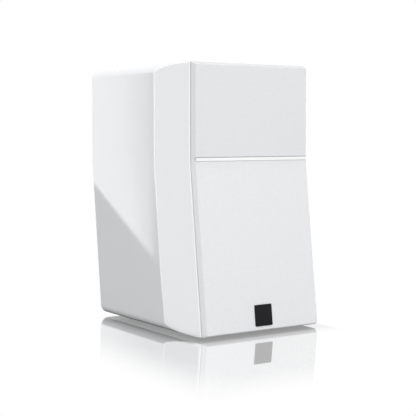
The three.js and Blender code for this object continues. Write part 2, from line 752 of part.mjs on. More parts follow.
function tweeterFaceplate() {
  const flare = WAVEGUIDE_RADIUS - THROAT_RADIUS;
  const throatOut = tweeterPlateBack + WAVEGUIDE_LAND;
  const horn = Array.from({ length: WAVEGUIDE_STEPS + 1 }, (_, i) => {
    const share = 1 - i / WAVEGUIDE_STEPS;
    return [THROAT_RADIUS + flare * share, throatOut * (1 - share ** 2)];
  });
  const profile = [
    ...horn,
    [THROAT_RADIUS, tweeterPlateBack + SEAT_GAP],
    [THROAT_RADIUS + TWEETER_RIM, tweeterPlateBack + SEAT_GAP],
    [THROAT_RADIUS + TWEETER_RIM, tweeterPlateBack],
    [TWEETER_PLATE_RADIUS, tweeterPlateBack],
    [TWEETER_PLATE_RADIUS, -RIM_EASE],
    [TWEETER_PLATE_RADIUS - RIM_EASE, 0],
  ];
  return piece("tweeter_faceplate", toSolid(turnedProfile(profile)), blackPlastic());
}

// A thin spherical cap, open behind.
function capProfile(radius, rise, skin, base, steps = ARC) {
  const size = (radius ** 2 + rise ** 2) / (2 * rise);
  const centre = base + rise - size;
  const edge = Math.asin(radius / size);
  const at = (shellSize, i) => {
    const angle = edge * (1 - i / steps);
    return [i === steps ? 0 : shellSize * Math.sin(angle), centre + shellSize * Math.cos(angle)];
  };
  const outside = Array.from({ length: steps + 1 }, (_, i) => at(size, i));
  const inside = Array.from({ length: steps + 1 }, (_, i) => at(size - skin, steps - i));
  return [...inside, ...outside];
}

function tweeterSurround() {
  const skin = DOME_SKIN;
  const inner = DOME_RADIUS + SEAT_GAP;
  const roll = (THROAT_RADIUS - SEAT_GAP - inner) / 2;
  const middle = inner + roll;
  const base = tweeterPlateBack - skin;
  const outer = THROAT_RADIUS + TWEETER_RIM - RECESS_GAP;
  const profile = [
    ...arc(middle, base, roll, Math.PI, 0),
    [outer, base],
    [outer, base - skin / 2],
    ...arc(middle, base - skin / 2, roll - skin, 0, Math.PI),
    [inner, base - skin / 2],
  ];
  return piece("tweeter_surround", smallTurned(profile), rubber());
}

function tweeterPole() {
  const back = tweeterPoleFront - TWEETER_STEEL;
  const radius = TWEETER_MAGNET_RADIUS - TWEETER_STEEL_STEP;
  const pole = DOME_RADIUS - 2 * POLE_GAP;
  const profile = [
    [TWEETER_VENT_RADIUS, back],
    [radius, back],
    [radius, tweeterPoleFront],
    [pole, tweeterPoleFront],
    [pole, tweeterSteelFront],
    [TWEETER_VENT_RADIUS, tweeterSteelFront],
  ];
  return piece("tweeter_pole_plate", smallTurned(profile), steel());
}

// A cup that closes the back of the tweeter.
function tweeterChamber() {
  const back = tweeterChamberFront - TWEETER_CHAMBER_DEPTH;
  const floor = back + TWEETER_CHAMBER_WALL;
  const inner = TWEETER_CHAMBER_RADIUS - TWEETER_CHAMBER_WALL;
  const profile = [
    [inner, tweeterChamberFront],
    [inner, floor],
    [0, floor],
    [0, back],
    [TWEETER_CHAMBER_RADIUS - TWEETER_CHAMBER_CHAMFER, back],
    [TWEETER_CHAMBER_RADIUS, back + TWEETER_CHAMBER_CHAMFER],
    [TWEETER_CHAMBER_RADIUS, tweeterChamberFront],
  ];
  return piece("tweeter_rear_chamber", smallTurned(profile), blackPlastic());
}

function tweeter() {
  const group = leaningGroup(TWEETER_HEIGHT);
  const coilTop = domeBase - DOME_SKIN - SEAT_GAP;
  const coilBack = coilTop - TWEETER_COIL_LENGTH;
  const steelRadius = TWEETER_MAGNET_RADIUS - TWEETER_STEEL_STEP;
  const steelBack = tweeterSteelFront - TWEETER_STEEL;
  const magnetBack = tweeterMagnetFront - TWEETER_MAGNET_THICKNESS;
  const dome = capProfile(DOME_RADIUS, DOME_RISE, DOME_SKIN, domeBase);
  const coil = smallRing(DOME_RADIUS - POLE_GAP, DOME_RADIUS, coilBack, coilTop);
  const topPlate = smallRing(DOME_RADIUS + POLE_GAP, steelRadius, steelBack, tweeterSteelFront);
  const magnet = smallRing(TWEETER_MAGNET_BORE, TWEETER_MAGNET_RADIUS, magnetBack, tweeterMagnetFront);
  group.add(
    tweeterFaceplate(),
    tweeterSurround(),
    tweeterPole(),
    tweeterChamber(),
    piece("tweeter_dome", smallTurned(dome), aluminium()),
    piece("tweeter_voice_coil", toSolid(coil), copper()),
    piece("tweeter_top_plate", toSolid(topPlate), steel()),
    piece("tweeter_magnet", toSolid(magnet), ferrite()),
  );
  return group;
}

// ---- Woofer: same axes as the tweeter, in a group that leans with the lower baffle ----

const basketBack = -BASKET_DEPTH;
const surroundBack = -SURROUND_LIP;
const wooferSteelFront = basketBack - SEAT_GAP;
const wooferMagnetFront = wooferSteelFront - WOOFER_STEEL - SEAT_GAP;
const wooferPoleFront = wooferMagnetFront - WOOFER_MAGNET_THICKNESS - SEAT_GAP;
const lipRadius = WOOFER_FLANGE_RADIUS - FLANGE_LIP;
const rollMiddle = CONE_RADIUS + SEAT_GAP + ROLL_RADIUS;
const rollEdge = rollMiddle + ROLL_RADIUS;
const coneNeck = FORMER_RADIUS + SEAT_GAP;
const coneEdge = CONE_RADIUS - CONE_RIM;

function wooferHole() {
  const through = -(BAFFLE_THICKNESS + OVERRUN);
  const seat = -(WOOFER_FLANGE_THICKNESS + SEAT_GAP);
  const hole = turnedProfile([
    [0, through],
    [BASKET_RADIUS + RECESS_GAP, through],
    [BASKET_RADIUS + RECESS_GAP, seat],
    [WOOFER_FLANGE_RADIUS + RECESS_GAP, seat],
    [WOOFER_FLANGE_RADIUS + RECESS_GAP, OVERRUN],
    [0, OVERRUN],
  ]);
  return placed(hole, leaningGroup(WOOFER_HEIGHT).matrix);
}

// A sector of a ring between two depths, as a cutter.
function sectorCutter(inner, outer, degrees, turn, low, high) {
  const half = THREE.MathUtils.degToRad(degrees / 2);
  const shape = new THREE.Shape();
  shape.absarc(0, 0, outer, turn - half, turn + half);
  shape.absarc(0, 0, inner, turn + half, turn - half, true);
  shape.closePath();
  return toSolid(throughDepth(shape, -high, -low));
}

// A cast basket: flange, conical spokes, spider shelf and magnet seat.
function wooferBasket() {
  const shelf = -SPIDER_SEAT_DEPTH;
  const shelfBack = shelf - SPIDER_SHELF_THICKNESS;
  const shelfInner = SPIDER_RADIUS - SPIDER_SHELF;
  const shelfOuter = SPIDER_RADIUS + SEAT_GAP;
  const skirt = shelfOuter + BASKET_WALL;
  const seatFront = basketBack + BASKET_FLOOR;
  const shoulder = -(WOOFER_FLANGE_THICKNESS + BASKET_SHOULDER);
  const bore = FORMER_RADIUS + BASKET_BORE_ROOM;
  const inside = BASKET_RADIUS - BASKET_WALL;
  const profile = [
    [WOOFER_FLANGE_RADIUS, -RIM_EASE],
    [WOOFER_FLANGE_RADIUS, -WOOFER_FLANGE_THICKNESS],
    [BASKET_RADIUS, -WOOFER_FLANGE_THICKNESS],
    [BASKET_RADIUS, shoulder],
    [skirt, shelf + BASKET_WALL / 2],
    [skirt, shelf - BASKET_WALL / 2],
    [MAGNET_SEAT_RADIUS + BASKET_WALL / 2, seatFront],
    [MAGNET_SEAT_RADIUS, basketBack],
    [bore, basketBack],
    [bore, seatFront],
    [MAGNET_SEAT_RADIUS - BASKET_WALL, seatFront],
    [shelfInner, shelfBack],
    [shelfInner, shelf],
    [shelfOuter, shelf],
    [shelfOuter, shelf + SPIDER_SHELF_THICKNESS],
    [inside, shoulder],
    [inside, surroundBack - SEAT_GAP],
    [lipRadius, surroundBack - SEAT_GAP],
    [lipRadius, 0],
    [WOOFER_FLANGE_RADIUS - RIM_EASE, 0],
  ];
  return piece("woofer_basket", cut(toSolid(turnedProfile(profile)), ...basketWindows()), castBlack());
}

// The openings between the spokes, above and below the spider's shelf.
function basketWindows() {
  const span = 360 / BASKET_SPOKES - BASKET_SPOKE_DEGREES;
  const shelfFront = -SPIDER_SEAT_DEPTH + 1.5 * SPIDER_SHELF_THICKNESS;
  const shelfBack = -SPIDER_SEAT_DEPTH - 1.2 * SPIDER_SHELF_THICKNESS;
  const shoulder = -(WOOFER_FLANGE_THICKNESS + BASKET_SHOULDER + BASKET_WALL / 2);
  const floor = basketBack + 1.5 * BASKET_FLOOR;
  const far = BASKET_RADIUS + OVERRUN;
  return Array.from({ length: BASKET_SPOKES }, (_, i) => {
    const turn = (2 * Math.PI * i) / BASKET_SPOKES;
    const narrow = span - BASKET_SPOKE_DEGREES / 2;
    return [
      sectorCutter(SPIDER_RADIUS - SPIDER_SHELF, far, span, turn, shelfFront, shoulder),
      sectorCutter(MAGNET_SEAT_RADIUS - 2 * BASKET_WALL, far, narrow, turn, floor, shelfBack),
    ];
  }).flat();
}

function wooferSurround() {
  const front = surroundBack + SURROUND_SKIN;
  const outer = lipRadius - RECESS_GAP;
  const profile = [
    [coneEdge, front],
    ...arc(rollMiddle, front, ROLL_RADIUS, Math.PI, 0, ROLL_STEPS),
    [outer, front],
    [outer, surroundBack],
    ...arc(rollMiddle, surroundBack, ROLL_RADIUS - SURROUND_SKIN, 0, Math.PI, ROLL_STEPS),
    [coneEdge, surroundBack],
  ];
  return piece("woofer_surround", toSolid(turnedProfile(profile)), rubber());
}

// How far out the cone's front lies at a radius: steep at the neck, flatter at its edge.
function coneOut(radius) {
  const share = (radius - coneNeck) / (coneEdge - coneNeck);
  return -CONE_NECK_DEPTH + (CONE_NECK_DEPTH - CONE_EDGE_DEPTH) * share ** CONE_CURVE;
}

function wooferCone() {
  const front = Array.from({ length: CONE_STEPS + 1 }, (_, i) => {
    const radius = coneNeck + ((coneEdge - coneNeck) * i) / CONE_STEPS;
    return [radius, coneOut(radius)];
  });
  const lip = [CONE_RADIUS - SEAT_GAP, -CONE_EDGE_DEPTH];
  const outline = [...front, lip];
  const behind = [...outline].reverse().map(([radius, out]) => [radius, out - CONE_SKIN]);
  return piece("woofer_cone", toSolid(turnedProfile([...outline, ...behind])), coneFibre());
}

function wooferSpider() {
  const [inner, outer] = [coneNeck + SEAT_GAP, SPIDER_RADIUS - RECESS_GAP];
  const steps = 4 * SPIDER_WAVES;
  const base = -SPIDER_SEAT_DEPTH + SEAT_GAP;
  const wave = Array.from({ length: steps + 1 }, (_, i) => {
    const radius = inner + SPIDER_FLAT / 2 + ((outer - inner - 1.5 * SPIDER_FLAT) * i) / steps;
    const swing = 1 - Math.cos((2 * Math.PI * SPIDER_WAVES * i) / steps);
    return [radius, base + (SPIDER_WAVE_HEIGHT / 2) * swing];
  });
  const top = [[inner, base], ...wave, [outer, base]].map(([radius, out]) => [radius, out + SPIDER_SKIN]);
  const behind = [[outer, base], ...wave.reverse(), [inner, base]];
  return piece("woofer_spider", smallTurned([...top, ...behind]), spiderCloth());
}

function wooferPolePlate() {
  const pole = FORMER_RADIUS - FORMER_WALL - POLE_GAP;
  const back = wooferPoleFront - WOOFER_STEEL;
  const profile = [
    [POLE_VENT_RADIUS, back],
    [WOOFER_PLATE_RADIUS - POLE_CHAMFER, back],
    [WOOFER_PLATE_RADIUS, back + POLE_CHAMFER],
    [WOOFER_PLATE_RADIUS, wooferPoleFront],
    [pole, wooferPoleFront],
    [pole, wooferSteelFront],
    [POLE_VENT_RADIUS, wooferSteelFront],
  ];
  return piece("woofer_pole_plate", toSolid(turnedProfile(profile)), steel());
}

function woofer() {
  const group = leaningGroup(WOOFER_HEIGHT);
  const gasketInner = rollEdge + SEAT_GAP;
  const gasketBack = surroundBack + SURROUND_SKIN + SEAT_GAP;
  const windingInner = FORMER_RADIUS + SEAT_GAP;
  const windingOuter = windingInner + WINDING_THICKNESS;
  const windingMiddle = wooferSteelFront - WOOFER_STEEL / 2;
  const formerFront = -CONE_NECK_DEPTH - CONE_SKIN;
  const formerBack = formerFront - FORMER_LENGTH;
  const steelBack = wooferSteelFront - WOOFER_STEEL;
  const magnetBack = wooferMagnetFront - WOOFER_MAGNET_THICKNESS;
  const gasket = ring(gasketInner, lipRadius - RECESS_GAP, gasketBack, 0);
  const former = ring(FORMER_RADIUS - FORMER_WALL, FORMER_RADIUS, formerBack, formerFront);
  const [windingLow, windingHigh] = [windingMiddle - WINDING_LENGTH / 2, windingMiddle + WINDING_LENGTH / 2];
  const winding = ring(windingInner, windingOuter, windingLow, windingHigh);
  const topPlate = ring(windingOuter + POLE_GAP, WOOFER_PLATE_RADIUS, steelBack, wooferSteelFront);
  const magnet = ring(WOOFER_MAGNET_BORE, WOOFER_MAGNET_RADIUS, magnetBack, wooferMagnetFront);
  const capSeat = coneOut(DUST_CAP_RADIUS) + 2 * SEAT_GAP;
  const dustCap = capProfile(DUST_CAP_RADIUS, DUST_CAP_RISE, CONE_SKIN, capSeat);
  group.add(
    wooferBasket(),
    wooferSurround(),
    wooferCone(),
    wooferSpider(),
    wooferPolePlate(),
    piece("woofer_gasket", toSolid(gasket), rubber()),
    piece("woofer_dust_cap", toSolid(turnedProfile(dustCap)), coneFibre()),
    piece("woofer_coil_former", toSolid(former), kapton()),
    piece("woofer_coil_winding", toSolid(winding), copper()),
    piece("woofer_top_plate", toSolid(topPlate), steel()),
    piece("woofer_magnet", toSolid(magnet), ferrite()),
  );
  return group;
}

// ---- Rear vent: out is +Y, 0 is the rear panel's face ----

const flareMouth = PORT_RADIUS + PORT_FLARE;
const portSkin = PORT_RADIUS + PORT_WALL;
const socketRadius = portSkin + SEAT_GAP;
const socketEnd = PORT_FLARE + PORT_FLANGE_THICKNESS + PORT_SOCKET;

function portHole() {
  const through = -(REAR_THICKNESS + OVERRUN);
  const seat = -(PORT_FLANGE_THICKNESS + SEAT_GAP);
  const hole = turnedProfile(
    [
      [0, through],
      [flareMouth + RECESS_GAP, through],
      [flareMouth + RECESS_GAP, seat],
      [flareMouth + PORT_FLANGE + RECESS_GAP, seat],
      [flareMouth + PORT_FLANGE + RECESS_GAP, OVERRUN],
      [0, OVERRUN],
    ],
    REAR,
  );
  return placed(hole, leaningGroup(PORT_HEIGHT, CABINET_DEPTH).matrix);
}

function rearPort() {
  const group = leaningGroup(PORT_HEIGHT, CABINET_DEPTH);
  const seat = -PORT_FLANGE_THICKNESS;
  const throat = -PORT_FLARE - PORT_THROAT;
  const tubeFront = throat - SEAT_GAP;
  const flare = [
    [flareMouth + PORT_FLANGE, -RIM_EASE],
    [flareMouth + PORT_FLANGE, seat],
    [flareMouth, seat],
    [portSkin + PORT_SHOULDER, seat - PORT_SHOULDER],
    [socketRadius + PORT_WALL, throat],
    [socketRadius + PORT_WALL, -socketEnd],
    [socketRadius, -socketEnd],
    [socketRadius, throat],
    [PORT_RADIUS, throat],
    ...arc(flareMouth, -PORT_FLARE, PORT_FLARE, Math.PI, Math.PI / 2),
    [flareMouth + PORT_FLANGE - RIM_EASE, 0],
  ];
  const innerEnd = -PORT_LENGTH;
  const flareSkin = PORT_FLARE - PORT_WALL;
  const tube = [
    [PORT_RADIUS, tubeFront],
    ...arc(flareMouth, innerEnd + PORT_FLARE, PORT_FLARE, Math.PI, 1.4 * Math.PI),
    ...arc(flareMouth, innerEnd + PORT_FLARE, flareSkin, 1.4 * Math.PI, Math.PI),
    [portSkin, tubeFront],
  ];
  group.add(
    piece("port_flare", toSolid(turnedProfile(flare, REAR)), blackPlastic()),
    piece("port_tube", toSolid(turnedProfile(tube, REAR)), blackPlastic()),
  );
  return group;
}

// ---- Terminals: out is +Y, 0 is the rear panel's face ----

const cupFloor = -CUP_DEPTH;
const cupFloorBack = cupFloor - CUP_WALL;

function terminalHole() {
  const outline = roundedRectangle(
    CUP_WIDTH + 2 * (CUP_WALL + RECESS_GAP),
    CUP_LENGTH + 2 * (CUP_WALL + RECESS_GAP),
    CUP_RADIUS + CUP_WALL,
  );
  const hole = throughDepth(outline, -(REAR_THICKNESS + OVERRUN), OVERRUN);
  return placed(hole, leaningGroup(TERMINAL_HEIGHT, CABINET_DEPTH).matrix);
}

function cupLevel(grow, out) {
  const [width, length] = [CUP_WIDTH + 2 * grow, CUP_LENGTH + 2 * grow];
  return ringAtDepth(width, length, CUP_RADIUS + Math.max(grow, 1 - CUP_RADIUS), out);
}

function terminalCup() {
  const [rimLow, rimHigh] = [SEAT_GAP, SEAT_GAP + CUP_FLANGE_THICKNESS];
  const eased = rimHigh - CUP_FLANGE_EASE;
  const rim = loft([
    cupLevel(CUP_FLANGE, rimLow),
    cupLevel(CUP_FLANGE, eased),
    cupLevel(CUP_FLANGE - CUP_FLANGE_EASE, rimHigh),
  ]);
  const body = loft([cupLevel(CUP_WALL - CUP_DRAFT, cupFloorBack), cupLevel(CUP_WALL, eased)]);
  const mouth = rimHigh + OVERRUN;
  const slope = CUP_DRAFT / CUP_DEPTH;
  const hollow = loft([cupLevel(-CUP_DRAFT, cupFloor), cupLevel(slope * mouth, mouth)]);
  const holes = [-1, 1].map((side) => {
    const hole = smallRing(0, POST_RADIUS + SEAT_GAP, cupFloorBack - OVERRUN, cupFloor + OVERRUN, REAR);
    return toSolid(hole.translate((side * POST_SPACING) / 2, 0, 0));
  });
  const solid = cut(join(toSolid(body), toSolid(rim)), toSolid(hollow), ...holes);
  return piece("terminal_cup", solid, blackPlastic());
}

// Heights in a binding post's group, whose zero is the floor of the cup.
const collarTop = SEAT_GAP + POST_COLLAR_THICKNESS;
const washerLow = collarTop + SEAT_GAP;
const washerTop = washerLow + WASHER_THICKNESS;
const knobLow = washerTop + SEAT_GAP;
const knobHigh = knobLow + KNOB_LENGTH;

// A collar, a threaded post with a cross hole for bare wire, and a nut behind the cup.
function postBody() {
  const back = -CUP_WALL - POST_TAIL;
  const nutTop = -CUP_WALL - SEAT_GAP;
  const stem = [
    [0, back],
    [POST_RADIUS, back],
    [POST_RADIUS, POST_LENGTH - POST_EASE],
    [POST_RADIUS - POST_EASE, POST_LENGTH],
    [0, POST_LENGTH],
  ];
  const collar = smallRing(0, POST_COLLAR_RADIUS, SEAT_GAP, collarTop, REAR);
  const nut = ring(0, POST_COLLAR_RADIUS, nutTop - POST_NUT_THICKNESS, nutTop, REAR, NUT_SIDES);
  const wireHigh = washerLow + 2 * POST_WIRE_HOLE;
  const bore = smallRing(0, BANANA_RADIUS, wireHigh, POST_LENGTH + OVERRUN, REAR);
  const reach = 4 * POST_RADIUS;
  const wireHole = new THREE.CylinderGeometry(POST_WIRE_HOLE, POST_WIRE_HOLE, reach, WIRE_HOLE_SIDES);
  wireHole.rotateX(Math.PI / 2).translate(0, washerLow + POST_WIRE_HOLE, 0);
  const solid = join(smallTurned(stem, REAR), toSolid(collar), toSolid(nut));
  return cut(solid, toSolid(bore), toSolid(wireHole));
}

// A grip whose outline rises in a rib a few degrees wide, again and again.
function ribbedGrip() {
  const shape = new THREE.Shape();
  const steps = 2 * KNOB_RIBS;
  for (let i = 0; i < steps; i += 1) {
    const angle = (2 * Math.PI * i) / steps;
    const radius = KNOB_RADIUS + (i % 2) * KNOB_RIB_HEIGHT;
    const point = [radius * Math.cos(angle), radius * Math.sin(angle)];
    if (i === 0) shape.moveTo(...point);
    else shape.lineTo(...point);
  }
  shape.closePath();
  return toSolid(throughDepth(shape, knobLow, knobHigh - KNOB_CROWN));
}

function knobBody() {
  const crown = [
    [0, knobLow + KNOB_EASE],
    [KNOB_RADIUS, knobLow + KNOB_EASE],
    [KNOB_RADIUS, knobHigh - KNOB_EASE],
    [KNOB_RADIUS - KNOB_EASE, knobHigh],
    [0, knobHigh],
  ];
  const thread = smallRing(0, POST_RADIUS + SEAT_GAP, knobLow - OVERRUN, POST_LENGTH + SEAT_GAP, REAR);
  const mouth = smallRing(0, BANANA_RADIUS + BANANA_MOUTH, knobLow, knobHigh + OVERRUN, REAR);
  return cut(join(ribbedGrip(), smallTurned(crown, REAR)), toSolid(thread), toSolid(mouth));
}

function bindingPost(name, side, knobFinish) {
  const group = new THREE.Group();
  group.position.set((side * POST_SPACING) / 2, cupFloor, 0);
  const washer = smallRing(POST_RADIUS + SEAT_GAP, WASHER_RADIUS, washerLow, washerTop, REAR);
  group.add(
    piece(name + "_post", postBody(), brass()),
    piece(name + "_post_washer", toSolid(washer), brass()),
    piece(name + "_post_knob", knobBody(), knobFinish),
  );
  return group;
}

function terminals() {
  const group = leaningGroup(TERMINAL_HEIGHT, CABINET_DEPTH);
  group.add(terminalCup());
  group.add(bindingPost("red", -1, redPlastic()));
  group.add(bindingPost("black", 1, blackPlastic()));
  return group;
}

// ---- Crossover, on the cabinet's floor ----

const boardLow = CAVITY_FLOOR + STANDOFF_HEIGHT + SEAT_GAP;
const boardTop = boardLow + BOARD_THICKNESS;
const deck = boardTop + SEAT_GAP; // what the parts on the board rest on

function crossoverBoard() {
  const outline = roundedRectangle(BOARD_WIDTH, BOARD_LENGTH, BOARD_RADIUS);
  return piece("crossover_board", toSolid(throughHeight(outline, boardLow, boardTop)), circuitBoard());
}

function standoffs() {
  const [x, y] = [BOARD_WIDTH / 2 - STANDOFF_INSET, BOARD_LENGTH / 2 - STANDOFF_INSET];
  const places = {
    front_left: [-x, -y],
    front_right: [x, -y],
    rear_left: [-x, y],
    rear_right: [x, y],
  };
  const profile = [
    [0, CAVITY_FLOOR],
    [STANDOFF_RADIUS, CAVITY_FLOOR],
    [STANDOFF_RADIUS, CAVITY_FLOOR + STANDOFF_HEIGHT],
    [0, CAVITY_FLOOR + STANDOFF_HEIGHT],
  ];
  return Object.entries(places).map(([place, [standoffX, standoffY]]) => {
    const solid = toSolid(uprightProfile(profile, STANDOFF_SIDES));
    const standoff = piece("board_standoff_" + place, solid, blackPlastic());
    standoff.position.set(standoffX, standoffY, 0);
    return standoff;
  });
}

function inductor(name, radius, x) {
  const bore = radius * INDUCTOR_BORE;
  const profile = [
    [bore, deck],
    [radius, deck],
    [radius, deck + radius],
    [bore, deck + radius],
  ];
  const coil = piece(name, toSolid(uprightProfile(profile)), copper());
  coil.position.set(x, BOARD_LENGTH / 2 - WOOFER_INDUCTOR_RADIUS - BOARD_MARGIN, 0);
  return coil;
}

function capacitor(name, radius, length, x) {
  const can = new THREE.CylinderGeometry(radius, radius, length, SMALL_ROUND).rotateZ(Math.PI / 2);
  const mesh = piece(name, toSolid(can.translate(0, 0, deck + radius)), film());
  mesh.position.set(x, -BOARD_LENGTH / 4, 0);
  return mesh;
}

function resistor() {
  const [halfLength, halfSize] = [RESISTOR_LENGTH / 2, RESISTOR_SIZE / 2];
  const low = [-halfSize, -halfLength, deck];
  const high = [halfSize, halfLength, deck + RESISTOR_SIZE];
  return piece("crossover_resistor", toSolid(box(low, high)), ceramic());
}

function crossover() {
  const group = new THREE.Group();
  group.position.set(0, leanShift(boardLow) + BOARD_SETBACK + BOARD_LENGTH / 2, 0);
  const x = BOARD_WIDTH / 4;
  group.add(
    crossoverBoard(),
    ...standoffs(),
    inductor("crossover_woofer_inductor", WOOFER_INDUCTOR_RADIUS, -x),
    inductor("crossover_tweeter_inductor", TWEETER_INDUCTOR_RADIUS, x),
    capacitor("crossover_large_capacitor", LARGE_CAPACITOR_RADIUS, LARGE_CAPACITOR_LENGTH, -x),
    capacitor("crossover_small_capacitor", SMALL_CAPACITOR_RADIUS, SMALL_CAPACITOR_LENGTH, x),
    resistor(),
  );
  return group;
}

// ---- The whole object ----

const assembly = new THREE.Group();
assembly.add(
  cabinetShell(),
  frontBaffle(),
  rearPanel(),
  windowBrace(),
  dampingFoam(),
  ...feet(),
  grille(),
  tweeter(),
  woofer(),
  rearPort(),
  terminals(),
  crossover(),
);

assembly.updateMatrixWorld(true);
const footprint = new THREE.Box3().setFromObject(assembly, true);
assembly.position.y = -(footprint.min.y + footprint.max.y) / 2;

const speaker = new THREE.Group();
speaker.name = "bookshelf_speaker";
speaker.add(assembly);

export default speaker;
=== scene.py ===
import math
from contextlib import contextmanager

import bmesh
import bpy
from bpy.props import FloatProperty, FloatVectorProperty, IntProperty, PointerProperty
from mathutils import Matrix, Vector


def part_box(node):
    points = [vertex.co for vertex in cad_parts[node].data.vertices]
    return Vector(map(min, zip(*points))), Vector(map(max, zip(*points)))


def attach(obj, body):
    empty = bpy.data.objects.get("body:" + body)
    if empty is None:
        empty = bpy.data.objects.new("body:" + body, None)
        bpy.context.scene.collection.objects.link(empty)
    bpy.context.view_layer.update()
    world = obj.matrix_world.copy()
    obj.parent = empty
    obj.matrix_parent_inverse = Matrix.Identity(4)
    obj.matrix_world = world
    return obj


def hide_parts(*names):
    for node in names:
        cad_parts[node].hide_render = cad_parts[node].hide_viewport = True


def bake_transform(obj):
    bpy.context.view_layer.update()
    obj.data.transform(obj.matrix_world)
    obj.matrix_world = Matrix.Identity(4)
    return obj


bl_info = {
    "name": "Bookshelf Speaker Looks",
    "version": (1, 0, 0),
    "blender": (4, 5, 0),
    "location": "3D View > Sidebar > Speaker",
    "description": "Models and finishes a two-way bookshelf speaker around its CAD frame",
    "category": "Object",
}

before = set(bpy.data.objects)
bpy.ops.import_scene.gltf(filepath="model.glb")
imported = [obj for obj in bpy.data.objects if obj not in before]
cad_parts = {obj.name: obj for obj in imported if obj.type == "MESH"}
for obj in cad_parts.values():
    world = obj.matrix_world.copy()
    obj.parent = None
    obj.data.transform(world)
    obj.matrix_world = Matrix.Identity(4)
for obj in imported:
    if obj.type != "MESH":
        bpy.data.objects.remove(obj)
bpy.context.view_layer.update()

MM = 0.001
NEAR = 1e-5

# The CAD model's own sizes, in millimetres. Straight work has its depth counted from the upper
# front of the baffle and its height from the floor, and leans with the body when it is settled.
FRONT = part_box("tweeter_faceplate")[0].y / MM
LOW, HIGH = 4, 381
HALF_WIDTH, DEPTH = 114, 262
BEND, BEND_BLEND = 240, 12
LEAN = math.radians(6.8)
LEVEL_STEP, LEVELS = 6, 64
WALL, BAFFLE, REAR_BOARD = 18, 25, 18
TWEETER_HEIGHT, WOOFER_HEIGHT, PORT_HEIGHT, TERMINAL_HEIGHT = 317, 120, 296, 105
BAR_LOW, BAR_HIGH, BAR_FACE = 244.35, 249.05, 9.9
GRILLE_HALF, GRILLE_BEVEL, GRILLE_FACE, GRILLE_RAIL = 99.5, 3.2, 9.2, 11.5
BADGE_HALF_WIDTH, BADGE_HALF_HEIGHT, BADGE_THICKNESS = 14.75, 15, 1.2
CONE_BACK, CONE_DEPTH, CONE_CURVE, CONE_NECK, CONE_EDGE = -27, 23.5, 0.88, 19.5, 57
TRAY_HALF_WIDTH, TRAY_HALF_HEIGHT, TRAY_CORNER, TRAY_FLOOR = 47, 34, 17, -21
POST_SPREAD = 9.5
PLAIN_GAP = 0.2
# Round holes: the radius and depth, then the radius and depth of a wider seat.
TWEETER_HOLE, WOOFER_HOLE = (38, 30, (52.4, 5.3)), (72.9, 30, (83.4, 5.3))
VENT_HOLE, MAGNET_HOLE, POST_HOLE, WIRE_HOLE = (37.4, 25, (42.4, 4.3)), (4.4, 3.3), (3.8, 30), (1.6, 14)
CORNERS = ("front_left", "front_right", "rear_left", "rear_right")

FINE, MEDIUM, SMALL, COARSE = 96, 48, 32, 24


# ---- Sizes and colours that a user would change ----


def length(name, description, default):
    return FloatProperty(name=name, description=description, default=default * MM, unit="LENGTH")


def colour(name, description, default):
    return FloatVectorProperty(
        name=name, description=description, default=default, size=3, subtype="COLOR", min=0, max=1
    )


class SpeakerSizes(bpy.types.PropertyGroup):
    """Sizes of the visible forms that leave the cabinet's overall size as it is."""

    edge_radius: length("Edge radius", "Rounding of the four long edges of the cabinet", 12.2)
    facet_depth: length("Facet depth", "How far back each front facet runs", 73.5)
    facet_ease: length("Facet ease", "Softening of the lines round the facets", 1.3)
    rear_ease: length("Rear ease", "Softening of the rear edge", 0.5)
    cloth: length("Cloth", "Thickness of the grille cloth", 0.35)
    cloth_ease: length("Cloth ease", "Rounding of the stretched cloth over the frame", 1.1)
    weave: length("Weave", "Distance between the diagonals of the cloth's weave", 2.3)
    roll: length("Roll", "Radius of the woofer's half-roll surround", 4.3)
    flutes: IntProperty(name="Flutes", description="Flutes round each terminal knob", default=14, min=6)


class SpeakerColours(bpy.types.PropertyGroup):
    """Main colours of the finishes."""

    lacquer: colour("Lacquer", "Gloss lacquer of the cabinet", (0.87, 0.883, 0.896))
    cloth: colour("Cloth", "Acoustic cloth of the grille", (0.775, 0.782, 0.797))
    bar: colour("Trim bar", "Painted bar across the grille", (0.90, 0.90, 0.90))
    badge: colour("Badge", "Flat plate at the foot of the grille", (0.014, 0.014, 0.016))
    cone: colour("Cone", "Woven cone and dust cap of the woofer", (0.035, 0.037, 0.042))
    black: colour("Black", "Moulded black plastic", (0.012, 0.012, 0.013))
    red: colour("Red", "Moulded red plastic", (0.42, 0.012, 0.014))


# ---- Selecting and editing, as by hand ----


def only(*objects):
    bpy.ops.object.select_all(action="DESELECT")
    for obj in objects:
        obj.select_set(True)
    bpy.context.view_layer.objects.active = objects[0]


@contextmanager
def editing(obj):
    only(obj)
    bpy.ops.object.mode_set(mode="EDIT")
    bpy.ops.mesh.select_mode(type="VERT")
    bpy.ops.mesh.select_all(action="DESELECT")
    yield
    bpy.ops.object.mode_set(mode="OBJECT")


def choose(obj, kind, test):
    """Selects the vertices, edges or faces of the edited mesh that pass the test."""
    bpy.ops.mesh.select_mode(type=kind)
    bpy.ops.mesh.select_all(action="DESELECT")
    mesh = bmesh.from_edit_mesh(obj.data)
    items = {"VERT": mesh.verts, "EDGE": mesh.edges, "FACE": mesh.faces}[kind]
    found = [item for item in items if test(item)]
    for item in found:
        item.select_set(True)
    mesh.select_flush_mode()
    bmesh.update_edit_mesh(obj.data)
    return len(found)


def outward():
    """Turns every normal of the edited mesh outwards."""
    bpy.ops.mesh.select_all(action="SELECT")
    bpy.ops.mesh.normals_make_consistent(inside=False)


def paint_chosen(obj, slot):
    """Gives the chosen faces of the edited mesh another of its materials."""
    obj.active_material_index = slot
    bpy.ops.object.material_slot_assign()


def ends(edge):
    return [vertex.co for vertex in edge.verts]


def along(edge, axis):
    a, b = ends(edge)
    return abs((b - a).normalized()[axis]) > 0.999


def in_depth(edge):
    return along(edge, 1)


